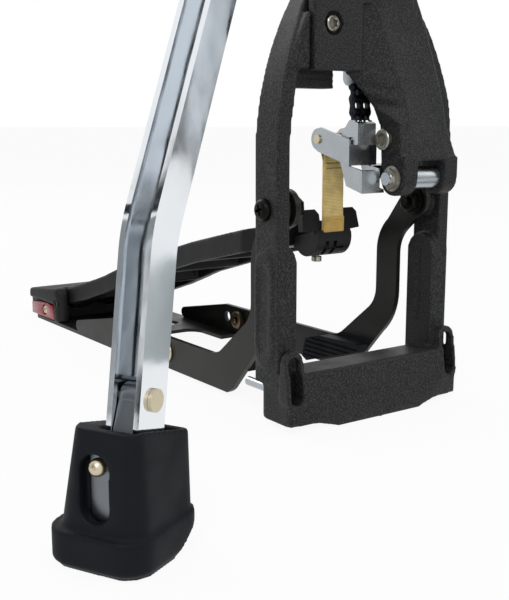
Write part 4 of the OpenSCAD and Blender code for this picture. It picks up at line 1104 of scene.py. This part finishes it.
class PEDAL_OT_stage(bpy.types.Operator):
    """Build the floor, the camera, the lamps, the sky and the cards"""
    bl_idname = "pedal.stage"
    bl_label = "Stage"

    def execute(self, context):
        stage = context.scene.pedal_stage
        white = linear("#ffffff")
        material = bpy.data.materials.new("painted_studio_floor")
        tree = emptied(material)
        matt = add(tree, "ShaderNodeBsdfDiffuse", {"Color": linear(stage.floor)})
        glow = add(tree, "ShaderNodeEmission", {"Color": white})
        share = maths(tree, "MULTIPLY", seen_directly(tree), by=FLOOR_GLOW)
        surface(tree, add(tree, "ShaderNodeMixShader",
                          links={0: share, 1: matt.outputs[0], 2: glow.outputs[0]}))
        half = stage.size / 2
        face_of("floor", four_corners((-half, -half, 0), (half, half, 0)), material)

        context.scene.world = bpy.data.worlds.new("studio")
        tree = emptied(context.scene.world)
        light = add(tree, "ShaderNodeBackground", {"Color": white, "Strength": SKY_LIGHT})
        sky = add(tree, "ShaderNodeBackground", {"Color": white})
        surface(tree, add(tree, "ShaderNodeMixShader",
                          links={0: seen_directly(tree), 1: light.outputs[0],
                                 2: sky.outputs[0]}), "World")

        lamp("key", stage.key, 0.9, (-1.3, -1.1, 1.5))
        lamp("fill", stage.fill, 1.2, (1.5, -1.2, 0.9))
        lamp("back", stage.back, 0.8, (-0.3, 1.7, 1.3))
        self.set_cards()
        self.set_camera()
        context.scene.view_settings.view_transform = "Standard"
        return {"FINISHED"}

    def set_cards(self):
        """Cards that only polished metal sees."""
        looks = {"black_card": plain_card("black_card", "#17191c"),
                 "pale_card": graded_card("pale_card", "#e4e8ec", "#b4babf"),
                 "grey_card": graded_card("grey_card", "#b9bebf", "#8b9092")}
        cards = [(name, four_corners(low, high), look) for name, low, high, look in CARDS]
        # all round the part, so that chrome has some tone from every side
        for turn, half in ROUND_CARDS:
            low, high = ((*on_circle(UPRIGHT_AT, turn + side), z)
                         for side, z in ((-half, 0.02), (half, 1.5)))
            cards.append(("card_round_%d" % turn, four_corners(low, high), "grey_card"))
        for turn, half in FLAT_CARDS:
            ends = ((FLAT_FROM, -half), (FLAT_TO, -half), (FLAT_TO, half), (FLAT_FROM, half))
            flat = [(*on_circle(reach, turn + side), 0.002) for reach, side in ends]
            cards.append(("card_flat_%d" % turn, flat, "grey_card"))
        for name, corners, look in cards:
            card = face_of(name, corners, looks[look])
            card.visible_camera = card.visible_diffuse = card.visible_shadow = False
            card.visible_transmission = card.visible_volume_scatter = False

    def set_camera(self):
        lens = bpy.data.cameras.new("camera")
        lens.lens = SENSOR * FOCUS / LONG_SIDE
        lens.sensor_width = SENSOR
        camera = holding("camera", lens)
        level = math.cos(CAMERA_PITCH)
        ahead = Vector((math.sin(CAMERA_YAW) * level, math.cos(CAMERA_YAW) * level,
                        -math.sin(CAMERA_PITCH)))
        camera.location = CAMERA_PLACE
        camera.rotation_mode = "QUATERNION"
        camera.rotation_quaternion = ahead.to_track_quat("-Z", "Y")
        bpy.context.scene.camera = camera


OPERATORS = (PEDAL_OT_castings, PEDAL_OT_board, PEDAL_OT_feet, PEDAL_OT_sheet,
             PEDAL_OT_strap, PEDAL_OT_chain, PEDAL_OT_spring, PEDAL_OT_fasteners,
             PEDAL_OT_heel, PEDAL_OT_finishes, PEDAL_OT_stage)


class PEDAL_PT_panel(bpy.types.Panel):
    """Lists the pedal base's pieces and their settings"""
    bl_idname = "PEDAL_PT_panel"
    bl_label = "Pedal base"
    bl_space_type = "VIEW_3D"
    bl_region_type = "UI"
    bl_category = "Pedal"

    def draw(self, context):
        for operator in OPERATORS:
            self.layout.operator(operator.bl_idname)
        for name in SETTINGS:
            group = getattr(context.scene, name)
            box = self.layout.box()
            box.label(text=type(group).__doc__)
            for key in type(group).__annotations__:
                box.prop(group, key)


def register():
    for name, group in SETTINGS.items():
        bpy.utils.register_class(group)
        setattr(bpy.types.Scene, name, PointerProperty(type=group))
    for item in OPERATORS + (PEDAL_PT_panel,):
        bpy.utils.register_class(item)


def unregister():
    for item in reversed(OPERATORS + (PEDAL_PT_panel,)):
        bpy.utils.unregister_class(item)
    for name, group in SETTINGS.items():
        delattr(bpy.types.Scene, name)
        bpy.utils.unregister_class(group)


def main():
    register()
    for operator in OPERATORS:
        group, name = operator.bl_idname.split(".")
        getattr(getattr(bpy.ops, group), name)()


if __name__ == "__main__":
    main()
